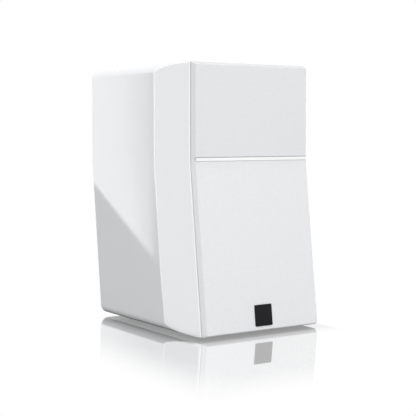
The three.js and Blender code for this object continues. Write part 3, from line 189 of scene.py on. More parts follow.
def level_with(depth):
    """A test for edges whose ends lie at a depth, in millimetres."""
    return lambda edge: all(abs(p.y - depth * MM) < NEAR for p in ends(edge))


# ---- Starting forms ----


def named(name):
    obj = bpy.context.active_object
    obj.name = name
    obj.data.name = name
    return obj


def apply_place(obj):
    """Leaves the object at the origin, unturned and unscaled, with its mesh where it was."""
    only(obj)
    bpy.ops.object.transform_apply(location=True, rotation=True, scale=True)


def placed(obj, place):
    obj.matrix_world = place
    apply_place(obj)
    return obj


def shifted(x=0, y=0, z=0):
    """A move given in millimetres."""
    return Matrix.Translation(Vector((x, y, z)) * MM)


def block(name, low, high):
    """A cube at its size and place, given in millimetres, ready to be shaped."""
    middle = [(a + b) / 2 * MM for a, b in zip(low, high)]
    bpy.ops.mesh.primitive_cube_add(size=1, location=middle)
    obj = named(name)
    obj.scale = [(b - a) * MM for a, b in zip(low, high)]
    apply_place(obj)
    return obj


def softened(profile, closed):
    """Replaces each corner of a profile that names a radius by an arc."""
    points = []
    count = len(profile)
    for i, (x, y, *radius) in enumerate(profile):
        corner = Vector((x, y))
        inside = closed or 0 < i < count - 1
        if not radius or not inside:
            points.append(corner)
            continue
        before = (Vector(profile[i - 1][:2]) - corner).normalized()
        after = (Vector(profile[(i + 1) % count][:2]) - corner).normalized()
        half = before.angle(after) / 2
        centre = corner + (before + after).normalized() * (radius[0] / math.sin(half))
        first = corner + before * (radius[0] / math.tan(half)) - centre
        last = corner + after * (radius[0] / math.tan(half)) - centre
        sweep = first.angle_signed(last)
        steps = max(2, round(abs(sweep) / math.radians(18)))
        for k in range(steps + 1):
            points.append(centre + Matrix.Rotation(-sweep * k / steps, 2) @ first)
    return points


def polyline(name, points, closed):
    """A line of edges through points given in metres, drawn by extruding one vertex."""
    bpy.ops.mesh.primitive_plane_add(size=MM)
    obj = named(name)
    with editing(obj):
        bpy.ops.mesh.select_all(action="SELECT")
        bpy.ops.mesh.merge(type="CENTER")
        bpy.ops.transform.translate(value=points[0])
        for before, point in zip(points, points[1:]):
            bpy.ops.mesh.extrude_vertices_move(TRANSFORM_OT_translate={"value": point - before})
        if closed:
            first, last = points[0], points[-1]
            choose(obj, "VERT", lambda v: min((v.co - first).length, (v.co - last).length) < 1e-7)
            bpy.ops.mesh.edge_face_add()
    return obj


def turned(name, profile, segments=FINE, facing=-1, closed=True, degrees=360):
    """A profile of [radius, distance out, radius of its corner], in millimetres, spun about the Y
    axis. Out is -Y on what faces the front and +Y on what faces the rear."""
    points = [Vector((x, facing * y, 0)) * MM for x, y in softened(profile, closed)]
    obj = polyline(name, points, closed)
    with editing(obj):
        bpy.ops.mesh.select_all(action="SELECT")
        bpy.ops.mesh.spin(
            steps=segments, angle=math.radians(degrees), center=(0, 0, 0), axis=(0, 1, 0)
        )
        bpy.ops.mesh.select_all(action="SELECT")
        bpy.ops.mesh.remove_doubles(threshold=1e-6)
        if degrees < 360:
            bpy.ops.mesh.fill_holes(sides=0)
        outward()
    return obj


def bored(place, radius, deep, rim=(), top=5, segments=FINE, facing=-1):
    """A cutter for a round hole, which stands out as far as its top. A rim adds a wider seat."""
    wide, sunk = rim or (radius, deep)
    seat_steps = [(radius, -sunk), (wide, -sunk)] if rim else []
    profile = [(0, -deep), (radius, -deep), *seat_steps, (wide, top), (0, top)]
    return placed(turned("hole", profile, segments, facing, closed=False), place)


# ---- Shaping ----


def bevel(obj, test, size, segments=3):
    with editing(obj):
        if choose(obj, "EDGE", test):
            bpy.ops.mesh.bevel(
                offset=size * MM, segments=segments, profile=0.5, affect="EDGES", clamp_overlap=False
            )


def slice_at(obj, point, normal, keep_inner=False):
    with editing(obj):
        bpy.ops.mesh.select_all(action="SELECT")
        bpy.ops.mesh.bisect(
            plane_co=point,
            plane_no=normal,
            use_fill=keep_inner,
            clear_outer=keep_inner,
            threshold=1e-7,
        )


def modified(obj, kind, **settings):
    """Adds one modifier, sets it and applies it."""
    only(obj)
    bpy.ops.object.modifier_add(type=kind)
    modifier = obj.modifiers[-1]
    for key, value in settings.items():
        setattr(modifier, key, value)
    bpy.ops.object.modifier_apply(modifier=modifier.name)


def cut(obj, *cutters):
    for cutter in cutters:
        modified(obj, "BOOLEAN", operation="DIFFERENCE", object=cutter, solver="EXACT")
        bpy.data.objects.remove(cutter)
    return obj


def copied(obj, name, matrix):
    only(obj)
    bpy.ops.object.duplicate(linked=False)
    return placed(named(name), matrix)


def copies(obj, name, places):
    """Copies of one piece, which is then thrown away."""
    twins = [copied(obj, name, place) for place in places]
    bpy.data.objects.remove(obj)
    return twins


def joined(name, *objects):
    only(*objects)
    if len(objects) > 1:
        bpy.ops.object.join()
    return named(name)


def smoothed(obj, degrees=30, weighted=False):
    only(obj)
    bpy.ops.object.shade_smooth_by_angle(angle=math.radians(degrees))
    if weighted:
        modified(obj, "WEIGHTED_NORMAL", keep_sharp=True)
    return obj


# ---- The lean of the body ----


def lean_shift(height):
    below = BEND - height
    slope = math.tan(LEAN)
    if below <= -BEND_BLEND:
        return 0
    if below >= BEND_BLEND:
        return -below * slope
    return -slope * (below + BEND_BLEND) ** 2 / (4 * BEND_BLEND)


def seat(height, depth=0, x=0):
    """The place of work that faces the front or rear at a height: its Y axis is square to it."""
    tilt = -LEAN if height < BEND else 0
    place = Vector((x, FRONT + depth + lean_shift(height), height)) * MM
    return Matrix.Translation(place) @ Matrix.Rotation(tilt, 4, "X")


def body_lattice():
    """A cage with a level every few millimetres, whose levels follow the lean."""
    obj = bpy.data.objects.get("body_lattice")
    if obj:
        return obj
    size = (LEVELS - 1) * LEVEL_STEP
    bpy.ops.object.add(type="LATTICE", location=(0, 0, size / 2 * MM))
    obj = bpy.context.active_object
    obj.name = "body_lattice"
    obj.scale = (1, 1, size * MM)
    cage = obj.data
    cage.points_u, cage.points_v, cage.points_w = 2, 2, LEVELS
    for axis in "uvw":
        setattr(cage, "interpolation_type_" + axis, "KEY_LINEAR")
    for i, point in enumerate(cage.points):
        point.co_deform.y += lean_shift(i // 4 * LEVEL_STEP) * MM
    return obj


def settled(obj):
    """Bends straight work with the body and moves it to its place in the frame."""
    for level in range(BEND - BEND_BLEND, BEND + BEND_BLEND + 1, LEVEL_STEP):
        slice_at(obj, (0, 0, level * MM), (0, 0, 1))
    modified(obj, "LATTICE", object=body_lattice())
    obj.location.y = FRONT * MM
    apply_place(obj)
    return obj


# ---- Finishes ----


class Nodes:
    """Short ways to add nodes to one tree and join them."""

    def __init__(self, tree):
        self.tree = tree

    def add(self, kind, inputs=None, **settings):
        node = self.tree.nodes.new(kind)
        for key, value in settings.items():
            setattr(node, key, value)
        for key, value in (inputs or {}).items():
            socket = node.inputs[key]
            if isinstance(value, bpy.types.NodeSocket):
                self.tree.links.new(value, socket)
            else:
                socket.default_value = value
        return node

    def axes(self, vector):
        return self.add("ShaderNodeSeparateXYZ", {"Vector": vector}).outputs

    def math(self, operation, first, *others):
        """One math node, or a chain of them where there are more than two values."""
        if not others:
            return self.add("ShaderNodeMath", {0: first}, operation=operation).outputs[0]
        for other in others:
            first = self.add("ShaderNodeMath", {0: first, 1: other}, operation=operation).outputs[0]
        return first

    def weighed(self, first, share, second, other_share):
        """Two factors added, each in its share."""
        return self.math(
            "ADD", self.math("MULTIPLY", first, share), self.math("MULTIPLY", second, other_share)
        )

    def between(self, value, low, high, start=0, end=1, smooth=True):
        """Runs from the start to the end while the value goes from low to high."""
        inputs = {"Value": value, "From Min": low, "From Max": high, "To Min": start, "To Max": end}
        kind = "SMOOTHSTEP" if smooth else "LINEAR"
        return self.add("ShaderNodeMapRange", inputs, interpolation_type=kind).outputs["Result"]

    def glow(self, strength):
        return self.add("ShaderNodeEmission", {"Strength": strength}).outputs[0]

    def mixed(self, factor, first, second):
        return self.add("ShaderNodeMixShader", {0: factor, 1: first, 2: second}).outputs[0]


class Finish(Nodes):
    """One procedural material: nodes are added to it and joined to its shader."""

    def __init__(self, name, roughness=0.5, **sockets):
        self.material = bpy.data.materials.new(name)
        self.material.use_nodes = True
        super().__init__(self.material.node_tree)
        self.shader = self.tree.nodes["Principled BSDF"]
        self.shader.inputs["Roughness"].default_value = roughness
        for key, value in sockets.items():
            self.shader.inputs[key.replace("_", " ")].default_value = value
        self.place = self.add("ShaderNodeTexCoord").outputs["Object"]

    def mapped(self, source=None, **inputs):
        return self.add("ShaderNodeMapping", {"Vector": source or self.place, **inputs}).outputs[0]

    def noise(self, scale, detail=3, roughness=0.5, vector=None):
        inputs = {
            "Vector": vector or self.place, "Scale": scale, "Detail": detail, "Roughness": roughness
        }
        return self.add("ShaderNodeTexNoise", inputs).outputs["Fac"]

    def cells(self, scale):
        inputs = {"Vector": self.place, "Scale": scale}
        return self.add("ShaderNodeTexVoronoi", inputs).outputs["Distance"]

    def bands(self, scale, direction="X", kind="BANDS", profile="SIN", vector=None, distortion=0):
        inputs = {"Vector": vector or self.place, "Scale": scale, "Distortion": distortion}
        settings = {"wave_type": kind, "wave_profile": profile}
        settings["rings_direction" if kind == "RINGS" else "bands_direction"] = direction
        return self.add("ShaderNodeTexWave", inputs, **settings).outputs["Fac"]

    def tones(self, factor, dark, light, low=0.3, high=0.7):
        """Runs from one colour to another as the factor rises."""
        ramp = self.add("ShaderNodeValToRGB", {"Fac": factor})
        first, last = ramp.color_ramp.elements
        first.position, last.position = low, high
        first.color, last.color = (*dark, 1), (*light, 1)
        return ramp.outputs["Color"]

    def around(self, factor, colour, spread):
        """A colour that is a little darker and lighter as the factor changes."""
        return self.tones(factor, scaled(colour, 1 - spread), scaled(colour, 1 + spread))

    def made(self, colour, relief, dulled=None):
        """Joins the colour, a relief of [height, its depth in millimetres, strength] and a gloss of
        [factor, lowest roughness, highest roughness] to the shader."""
        height, depth, strength = relief
        inputs = {"Height": height, "Distance": depth * MM, "Strength": strength}
        sockets = {"Base Color": colour, "Normal": self.add("ShaderNodeBump", inputs).outputs[0]}
        if dulled:
            factor, low, high = dulled
            sockets["Roughness"] = self.between(factor, 0.25, 0.75, low, high)
        for name, output in sockets.items():
            self.tree.links.new(output, self.shader.inputs[name])
        return self.material


def scaled(colour, share):
    return [min(1, c * share) for c in colour]


def gloss_lacquer(name, colour):
    """Polished lacquer: a hard clear coat with the faintest ripple."""
    f = Finish(name, 0.1, IOR=1.85, Coat_Weight=1.0, Coat_Roughness=0.02, Coat_IOR=1.85)
    ripple, haze = f.noise(420, 2, 0.4), f.noise(60, 4)
    return f.made(f.around(f.noise(6, 2), colour, 0.004), (ripple, 0.01, 0.05), (haze, 0.02, 0.04))


def acoustic_cloth(name, colour, pitch):
    """Knitted cloth: fine threads under a diagonal diamond of slightly darker openings, painted lighter
    below the trim bar and with painted shade beside it.
    """
    f = Finish(name, 0.92, Sheen_Weight=0.15, Sheen_Roughness=0.5)
    uv = f.add("ShaderNodeUVMap", uv_map="weave").outputs["UV"]
    diagonal = f.mapped(uv, Rotation=(0, 0, math.radians(45)))
    turns = math.pi / (pitch * 10)
    diamonds = f.math("MULTIPLY", *(f.bands(turns, axis, vector=diagonal) for axis in "XY"))
    thread_turns, unevenness = turns * 3, 0.6
    threads = f.math(
        "MAXIMUM", *(f.bands(thread_turns, axis, vector=uv, distortion=unevenness) for axis in "XY")
    )
    weave = f.weighed(diamonds, 0.7, threads, 0.3)
    slubs = f.math("MULTIPLY", f.math("SUBTRACT", f.noise(700, 3), 0.5), 0.35)
    mixed = f.math("ADD", weave, slubs)
    low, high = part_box("grille_bar")
    spot = f.axes(f.place)
    # Painted light: the cloth below the trim bar is lighter in colour, as if lit more from above.
    closed = f.between(spot["Z"], low.z, high.z, 0.10, 0.0)
    dark, light = scaled(colour, 0.74), scaled(colour, 1.065)
    shown = f.tones(f.math("ADD", mixed, closed), dark, light, 0.0, 0.55)
    # Painted shade: the cloth's colour is darkened in a thin line round the trim bar.
    shade = {0: shown, "Scale": f.math("SUBTRACT", 1, painted_bar_shade(f, spot, low, high))}
    shaded = f.add("ShaderNodeVectorMath", shade, operation="SCALE").outputs[0]
    return f.made(shaded, (mixed, 0.12, 0.8))


def painted_bar_shade(f, spot, low, high):
    """How much painted shade darkens the cloth's colour beside the trim bar's box, where the cloth is
    tucked in behind it.
    """
    middle, half = (low.z + high.z) / 2, (high.z - low.z) / 2
    up = f.math("SUBTRACT", spot["Z"], middle)
    over = f.math("MAXIMUM", f.math("SUBTRACT", f.math("ABSOLUTE", up), half), 0)
    past = f.math("MAXIMUM", f.math("SUBTRACT", f.math("ABSOLUTE", spot["X"]), high.x), 0)
    near = f.between(f.math("ADD", over, past), 0.4 * MM, 1.6 * MM, 1, 0)
    return f.math("MULTIPLY", near, f.between(up, -half, half, 0.1, 0.55))


def satin_paint(name, colour, roughness=0.3, index=None):
    sockets = {"IOR": index} if index else {}
    f = Finish(name, roughness, Coat_Roughness=0.2, **sockets)
    grain = f.noise(900, 3)
    dulled = (grain, roughness - 0.05, roughness + 0.08)
    return f.made(f.around(f.noise(25, 4), colour, 0.02), (grain, 0.03, 0.35), dulled)


def moulded_plastic(name, colour, roughness=0.45, grain=1100, depth=0.04):
    """Moulded plastic with a fine spark-eroded grain and softer large patches."""
    f = Finish(name, roughness)
    pits, patches = f.cells(grain), f.noise(40, 4)
    dulled = (f.weighed(pits, 0.5, patches, 0.5), roughness - 0.08, roughness + 0.12)
    return f.made(f.around(patches, colour, 0.12), (pits, depth, 0.5), dulled)


def soft_rubber(name, colour, roughness=0.7):
    f = Finish(name, roughness, Sheen_Weight=0.1, Sheen_Roughness=0.6)
    dulled = (f.noise(70, 4), roughness - 0.1, roughness + 0.12)
    return f.made(f.around(f.noise(220, 6, 0.7), colour, 0.25), (f.noise(1500, 3), 0.03, 0.5), dulled)


def sheet_metal(name, colour, roughness=0.35, scratch_depth=0.01):
    """Plated or brushed metal with fine scratches and uneven dulling."""
    f = Finish(name, roughness, Metallic=1.0)
    scratches = f.noise(350, 4, 0.6, f.mapped(Scale=(1, 1, 14)))
    clouds = f.noise(45, 5, 0.6)
    dulled = (f.weighed(scratches, 0.6, clouds, 0.4), roughness - 0.09, roughness + 0.16)
    return f.made(f.around(clouds, colour, 0.09), (scratches, scratch_depth, 0.4), dulled)


def cast_paint(name, colour):
    """Powder coat on a casting: small even lumps."""
    f = Finish(name, 0.5, Metallic=0.2)
    lumps = f.cells(650)
    return f.made(f.around(f.noise(120, 4), colour, 0.15), (lumps, 0.06, 0.6), (lumps, 0.42, 0.62))


def wound_copper(name, pitch, centre=None):
    """Enamelled copper wire, wound turn against turn. A coil that stands upright is centred."""
    f = Finish(name, 0.3, Metallic=1.0, Coat_Weight=0.6, Coat_Roughness=0.15)
    turns = math.pi / (pitch * 10 * MM)
    vector = f.mapped(Location=[-c for c in centre]) if centre else f.mapped()
    wires = f.bands(turns, "Z", vector=vector)
    if centre:
        rings = f.bands(turns, "Z", "RINGS", vector=vector)
        facing = f.axes(f.add("ShaderNodeNewGeometry").outputs["Normal"])
        flat = f.math("GREATER_THAN", f.math("ABSOLUTE", facing["Z"]), 0.7)
        wires = f.add("ShaderNodeMix", {0: flat, 2: wires, 3: rings}).outputs[0]
    shown = f.tones(wires, (0.16, 0.045, 0.014), (0.62, 0.25, 0.11), 0.1, 0.8)
    return f.made(shown, (wires, pitch * 0.4, 0.8), (f.noise(200, 3), 0.22, 0.4))


def cone_weave(name, colour):
    """Woven cone: two threads crossing, under a thin coat of resin."""
    f = Finish(name, 0.4, Coat_Weight=0.3, Coat_Roughness=0.3)
    weave = f.math("MAXIMUM", f.bands(70, "X"), f.bands(70, "Z"))
    shown = f.tones(weave, scaled(colour, 0.45), scaled(colour, 1.5), 0.5, 1.0)
    return f.made(shown, (weave, 0.1, 0.6), (f.noise(90, 3), 0.32, 0.5))


def ferrite(name):
    """Pressed grey-black ceramic magnet with sanded faces."""
    f = Finish(name, 0.65)
    grains = f.noise(900, 5, 0.7)
    shown = f.tones(grains, (0.012, 0.012, 0.013), (0.05, 0.05, 0.053))
    return f.made(shown, (grains, 0.05, 0.6), (f.noise(60, 3), 0.5, 0.8))


def fibreboard(name):
    """Bare fibreboard: pressed fibres with a darker crust."""
    f = Finish(name, 0.85)
    fibres = f.noise(260, 8, 0.75, f.mapped(Scale=(1, 1, 3)))
    mixed = f.weighed(fibres, 0.8, f.cells(500), 0.2)
    return f.made(f.tones(mixed, (0.20, 0.12, 0.06), (0.50, 0.34, 0.19)), (mixed, 0.15, 0.6))


def open_cell_foam(name):
    f = Finish(name, 1.0, Sheen_Weight=0.2, Sheen_Roughness=0.7)
    pores = f.cells(420)
    shown = f.tones(pores, (0.01, 0.01, 0.011), (0.06, 0.061, 0.065), 0.1, 0.6)
    return f.made(shown, (pores, 0.8, 0.9), (f.noise(60, 3), 0.9, 1.0))


def kapton_film(name):
    """Amber film of the coil former, with its wrapped seam."""
    f = Finish(name, 0.3, Coat_Weight=0.5, Coat_Roughness=0.1)
    wrap = f.bands(30, "DIAGONAL", profile="SAW")
    shown = f.tones(wrap, (0.30, 0.10, 0.02), (0.55, 0.25, 0.06), 0.0, 1.0)
    return f.made(shown, (wrap, 0.02, 0.4), (f.noise(150, 3), 0.22, 0.4))


def spider_cloth(name):
    """Resin-dipped cotton of the woofer's spider."""
    f = Finish(name, 0.9, Sheen_Weight=0.2, Sheen_Roughness=0.6)
    weave = f.math("MULTIPLY", f.bands(280, "X"), f.bands(280, "Z"))
    shown = f.tones(weave, (0.38, 0.24, 0.07), (0.68, 0.50, 0.20), 0.0, 0.8)
    return f.made(shown, (weave, 0.12, 0.7), (f.noise(120, 4), 0.8, 0.98))


def ceramic_case(name):
    """White cement case of the power resistor."""
    f = Finish(name, 0.85)
    grit = f.noise(700, 6, 0.75)
    shown = f.tones(grit, (0.55, 0.53, 0.47), (0.82, 0.80, 0.73))
    return f.made(shown, (grit, 0.08, 0.7), (grit, 0.75, 0.95))


def circuit_board(name):
    """Green solder mask with copper tracks showing through as paler lines."""
    f = Finish(name, 0.4, Coat_Weight=0.4, Coat_Roughness=0.2)
    inputs = {
        "Vector": f.place, "Scale": 36, "Mortar Size": 0.06, "Brick Width": 0.9, "Row Height": 0.35,
        "Color1": (0.008, 0.09, 0.028, 1), "Color2": (0.010, 0.11, 0.034, 1),
        "Mortar": (0.03, 0.2, 0.06, 1),
    }
    tracks = f.add("ShaderNodeTexBrick", inputs).outputs
    return f.made(tracks["Color"], (tracks["Fac"], 0.05, 0.5), (f.noise(80, 4), 0.32, 0.5))


def film_wrap(name):
    """Yellow film wrapped round the capacitors, with resin at their ends."""
    f = Finish(name, 0.25, Coat_Weight=0.6, Coat_Roughness=0.1)
    shown = f.tones(f.bands(26, distortion=1.5), (0.50, 0.30, 0.03), (0.78, 0.56, 0.10), 0.0, 1.0)
    return f.made(shown, (f.noise(260, 3), 0.06, 0.4), (f.noise(140, 3), 0.18, 0.36))


UNCOLOURED = {
    "ferrite": ferrite,
    "fibreboard": fibreboard,
    "open_cell_foam": open_cell_foam,
    "kapton_film": kapton_film,
    "spider_cloth": spider_cloth,
    "circuit_board": circuit_board,
    "ceramic_case": ceramic_case,
    "film_wrap": film_wrap,
}


def finish(name):
    """The finish of that name, made the first time it is asked for."""
    ready = bpy.data.materials.get(name)
    if ready:
        return ready
    if name in UNCOLOURED:
        return UNCOLOURED[name](name)
    c = bpy.context.scene.speaker_colours
    weave = bpy.context.scene.speaker_sizes.weave
    recipe, *settings = {
        "gloss_lacquer": (gloss_lacquer, c.lacquer),
        "acoustic_cloth": (acoustic_cloth, c.cloth, weave),
        # Painted shade: a darker copy of the cloth for the border by the gap behind the grille.
        "glued_cloth": (acoustic_cloth, scaled(c.cloth, 0.78), weave),
        "bar_paint": (satin_paint, c.bar),
        "badge_face": (satin_paint, c.badge, 0.6, 1.25),
        "badge_rim": (satin_paint, scaled(c.badge, 0.5), 0.4, 1.3),
        "white_plastic": (moulded_plastic, (0.72, 0.73, 0.74), 0.5),
        "black_plastic": (moulded_plastic, c.black),
        "red_plastic": (moulded_plastic, c.red, 0.35, 1500, 0.02),
        "knob_black": (moulded_plastic, c.black, 0.35, 1500, 0.02),
        "surround_rubber": (soft_rubber, (0.011, 0.011, 0.012), 0.6),
        "foot_rubber": (soft_rubber, (0.016, 0.016, 0.017), 0.75),
        "plated_steel": (sheet_metal, (0.50, 0.51, 0.53)),
        "black_steel": (sheet_metal, (0.035, 0.035, 0.038), 0.4),
        "aluminium": (sheet_metal, (0.74, 0.75, 0.77), 0.28, 0.005),
        "brass": (sheet_metal, (0.78, 0.56, 0.21), 0.24, 0.005),
        "cast_paint": (cast_paint, (0.018, 0.018, 0.020)),
        "cone_weave": (cone_weave, c.cone),
    }[name]
    return recipe(name, *settings)


def coated(obj, *names):
    for name in names:
        obj.data.materials.append(finish(name))
    return obj


def done(obj, body, slot, *materials, replaces):
    """Gives a finished piece its materials and its body and hides the CAD nodes it stands for; the slot
    is not used.
    """
    coated(obj, *materials)
    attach(obj, body)
    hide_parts(*replaces)


# ---- Screws ----


def screw_head(name, material, radius):
    """A flat-topped screw with a hexagonal socket. Its seat is at zero and it faces the front."""
    profile = [(0, 0.9), (radius - 0.3, 0.9, 0.35), (radius, 0), (0, 0)]
    head = turned(name, profile, MEDIUM, closed=False)
    flat = radius * 0.48
    socket = turned("socket", [(0, 2), (flat, 2), (flat, 0.3), (0, 0.3)], 6, closed=False)
    return coated(smoothed(cut(head, socket)), material)


def ring_of_screws(name, place, count, radius, start, head):
    places = []
    for i in range(count):
        angle = start + 2 * math.pi * i / count
        spot = shifted(radius * math.cos(angle), 0, radius * math.sin(angle))
        places.append(place @ spot)
    return joined(name, *copies(screw_head(name, "black_steel", head), name, places))


# ---- Operators, one for each piece or group ----


class SpeakerStep:
    """What the operators share: a piece that can't be made stops the script."""

    bl_options = {"REGISTER", "UNDO"}

    def execute(self, context):
        self.make(context.scene.speaker_sizes)
        return {"FINISHED"}


class SPEAKER_OT_cabinet(SpeakerStep, bpy.types.Operator):
    """Models the lacquered cabinet: shell and front baffle under one coat"""

    bl_idname = "speaker.cabinet"
    bl_label = "Cabinet"

    def make(self, sizes):
        body = block("lacquered_cabinet", (-HALF_WIDTH, 0, LOW), (HALF_WIDTH, DEPTH, HIGH))
        radius = sizes.edge_radius / MM
        bevel(body, in_depth, radius, 14)
        self.facets(body, HALF_WIDTH - radius, sizes.facet_depth / MM, sizes.facet_ease / MM)
        bevel(body, level_with(DEPTH), sizes.rear_ease / MM, 2)
        inner = HALF_WIDTH - WALL
        cavity = block("cavity", (-inner, BAFFLE, LOW + WALL), (inner, DEPTH + WALL, HIGH - WALL))
        bevel(cavity, in_depth, 4, 4)
        cut(body, cavity)
        settled(body)
        tweeter = bored(seat(TWEETER_HEIGHT), *TWEETER_HOLE)
        woofer = bored(seat(WOOFER_HEIGHT), *WOOFER_HOLE)
        rail_middle = GRILLE_HALF - GRILLE_RAIL + (GRILLE_RAIL - GRILLE_BEVEL / 2) / 2
        pockets = [
            bored(seat(height, 0, side * rail_middle), *MAGNET_HOLE, segments=SMALL)
            for side in (-1, 1)
            for height in (LOW + 16, HIGH - 16)
        ]
        cut(body, tweeter, woofer, *pockets)
        smoothed(body, weighted=True)
        done(body, "cabinet", "lacquer", "gloss_lacquer", replaces=("cabinet_shell", "front_baffle"))

    def facets(self, body, inset, depth, ease):
        """Slices off both front corners and eases the borders of the cuts."""
        planes = []
        for side in (-1, 1):
            corner = Vector((side * inset, 0, 0)) * MM
            normal = Vector((side * depth, inset - HALF_WIDTH, 0)).normalized()
            slice_at(body, corner, normal, keep_inner=True)
            planes.append((corner, normal))

        def borders(edge):
            for corner, normal in planes:
                if all(abs((p - corner).dot(normal)) < NEAR for p in ends(edge)):
                    return True
            return level_with(0)(edge) and along(edge, 0)

        bevel(body, borders, ease, 4)


class SPEAKER_OT_rear_panel(SpeakerStep, bpy.types.Operator):
    """Models the rear panel, let into the shell"""

    bl_idname = "speaker.rear_panel"
    bl_label = "Rear panel"

    def make(self, sizes):
        inset = WALL + PLAIN_GAP
        panel = block(
            "rear_board",
            (inset - HALF_WIDTH, DEPTH - REAR_BOARD, LOW + inset),
            (HALF_WIDTH - inset, DEPTH, HIGH - inset),
        )
        bevel(panel, in_depth, 3.8, 4)
        bevel(panel, level_with(DEPTH), 0.4, 2)
        settled(panel)
        vent = bored(seat(PORT_HEIGHT, DEPTH), *VENT_HOLE, facing=1)
        cup = block("hole", (-40.9, -25, -27.9), (40.9, 5, 27.9))
        bevel(cup, in_depth, 10.5, 8)
        cut(panel, vent, placed(cup, seat(TERMINAL_HEIGHT, DEPTH)))
        smoothed(panel, weighted=True)
        done(panel, "cabinet", "lacquer", "gloss_lacquer", replaces=("rear_panel",))


class SPEAKER_OT_feet(SpeakerStep, bpy.types.Operator):
    """Turns one rubber foot with its screw and copies it to the four corners"""

    bl_idname = "speaker.feet"
    bl_label = "Feet"

    def make(self, sizes):
        recess = 1.6
        profile = [(0, recess), (3.6, recess, 0.3), (4.2, 0, 0.4), (8.3, 0, 0.8), (9, LOW), (0, LOW)]
        foot = coated(smoothed(turned("foot", profile, MEDIUM, 1, closed=False), 40), "foot_rubber")
        screw = placed(screw_head("foot_screw", "plated_steel", 3.0), shifted(y=recess))
        foot = joined("foot", foot, screw)
        upright = Matrix.Rotation(math.pi / 2, 4, "X")
        for corner in CORNERS:
            low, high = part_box("foot_" + corner)
            spot = Vector(((low.x + high.x) / 2, (low.y + high.y) / 2, 0))
            piece = copied(foot, "rubber_foot_" + corner, Matrix.Translation(spot) @ upright)
            done(piece, "cabinet", "rubber", replaces=("foot_" + corner,))
        bpy.data.objects.remove(foot)


class SPEAKER_OT_grille_cloth(SpeakerStep, bpy.types.Operator):
    """Stretches one cloth over the grille's frame, with a slot for the trim bar"""

    bl_idname = "speaker.grille_cloth"
    bl_label = "Grille cloth"

    def make(self, sizes):
        proud, corner, tucked, border = 0.4, 1.6, -0.3, -1.4
        half, face = GRILLE_HALF + proud, -GRILLE_FACE
        cloth = block("grille_cloth", (-half, face, LOW - proud), (half, tucked, HIGH + proud))
        middle = (LOW + HIGH) / 2 * MM
        with editing(cloth):
            choose(cloth, "FACE", lambda f: f.normal.y < -0.9)
            width = (half - GRILLE_BEVEL) / half
            height = 1 - GRILLE_BEVEL * MM / (HIGH * MM + proud * MM - middle)
            bpy.ops.transform.resize(value=(width, 1, height), center_override=(0, 0, middle))
            choose(cloth, "FACE", lambda f: f.normal.y > 0.9)
            bpy.ops.mesh.delete(type="FACE")
        bevel(cloth, lambda e: not along(e, 0) and not along(e, 2), corner, 4)
        bevel(cloth, level_with(face), sizes.cloth_ease / MM, 4)
        for x in range(-90, 91, 15):
            slice_at(cloth, (x * MM, 0, 0), (1, 0, 0))
        for z in (*range(16, 224, 16), *range(262, 374, 16)):
            slice_at(cloth, (0, 0, z * MM), (0, 0, 1))
        self.painted_shade_edge(cloth, border)
        settled(cloth)
        self.lay_weave(cloth)
        modified(cloth, "SOLIDIFY", thickness=sizes.cloth, offset=-1, use_even_offset=True)
        cut(cloth, self.slot())
        smoothed(cloth, 40, weighted=True)
        done(cloth, "grille", "grille_cloth", replaces=("grille_cloth_upper", "grille_cloth_lower"))

    def painted_shade_edge(self, cloth, border):
        """A narrow border darkened with painted shade, where the cloth turns in behind the frame."""
        slice_at(cloth, (0, border * MM, 0), (0, 1, 0))
        # Painted shade: the border next to the baffle gets the darker copy of the cloth.
        coated(cloth, "acoustic_cloth", "glued_cloth")
        with editing(cloth):
            choose(cloth, "FACE", lambda f: all(v.co.y > border * MM - NEAR for v in f.verts))
            paint_chosen(cloth, 1)

    def lay_weave(self, cloth):
        """A flat pattern that runs on over the frame's edges."""
        with editing(cloth):
            bpy.ops.mesh.select_all(action="SELECT")
            bpy.ops.uv.cube_project(cube_size=1, correct_aspect=False, scale_to_bounds=False)
        cloth.data.uv_layers[0].name = "weave"

    def slot(self):
        gap = 0.3
        half = GRILLE_HALF - GRILLE_BEVEL + gap
        return settled(block("slot", (-half, -12, BAR_LOW - gap), (half, -7.5, BAR_HIGH + gap)))


class SPEAKER_OT_trim_bar(SpeakerStep, bpy.types.Operator):
    """Models the painted bar that divides the cloth above the bend"""

    bl_idname = "speaker.trim_bar"
    bl_label = "Trim bar"

    def make(self, sizes):
        half = GRILLE_HALF - GRILLE_BEVEL
        bar = block("trim_bar", (-half, -BAR_FACE, BAR_LOW), (half, -8.4, BAR_HIGH))
        bevel(bar, level_with(-BAR_FACE), 0.35)
        settled(bar)
        smoothed(bar, 40, weighted=True)
        done(bar, "grille", "bar", "bar_paint", replaces=("grille_bar",))


class SPEAKER_OT_badge(SpeakerStep, bpy.types.Operator):
    """Models the bare plate at the foot of the grille"""

    bl_idname = "speaker.badge"
    bl_label = "Badge"

    def make(self, sizes):
        width, height = BADGE_HALF_WIDTH, BADGE_HALF_HEIGHT
        clearance, gap_below = 0.15, 3.7
        face = GRILLE_FACE * math.cos(LEAN) + clearance
        out = -(face + BADGE_THICKNESS)
        plate = block("badge_plate", (-width, out, -height), (width, -face, height))
        bevel(plate, in_depth, 1, 4)
        bevel(plate, level_with(out), 0.3)
        coated(plate, "badge_rim", "badge_face")
        with editing(plate):
            choose(plate, "FACE", lambda f: f.normal.y < -0.99)
            bpy.ops.mesh.inset(thickness=0.5 * MM, depth=0)
            bpy.ops.mesh.inset(thickness=0.12 * MM, depth=-0.12 * MM)
            paint_chosen(plate, 1)
        smoothed(plate, weighted=True)
        placed(plate, seat(LOW + GRILLE_BEVEL + gap_below + height * math.cos(LEAN)))
        done(plate, "grille", "badge", replaces=("grille_badge",))


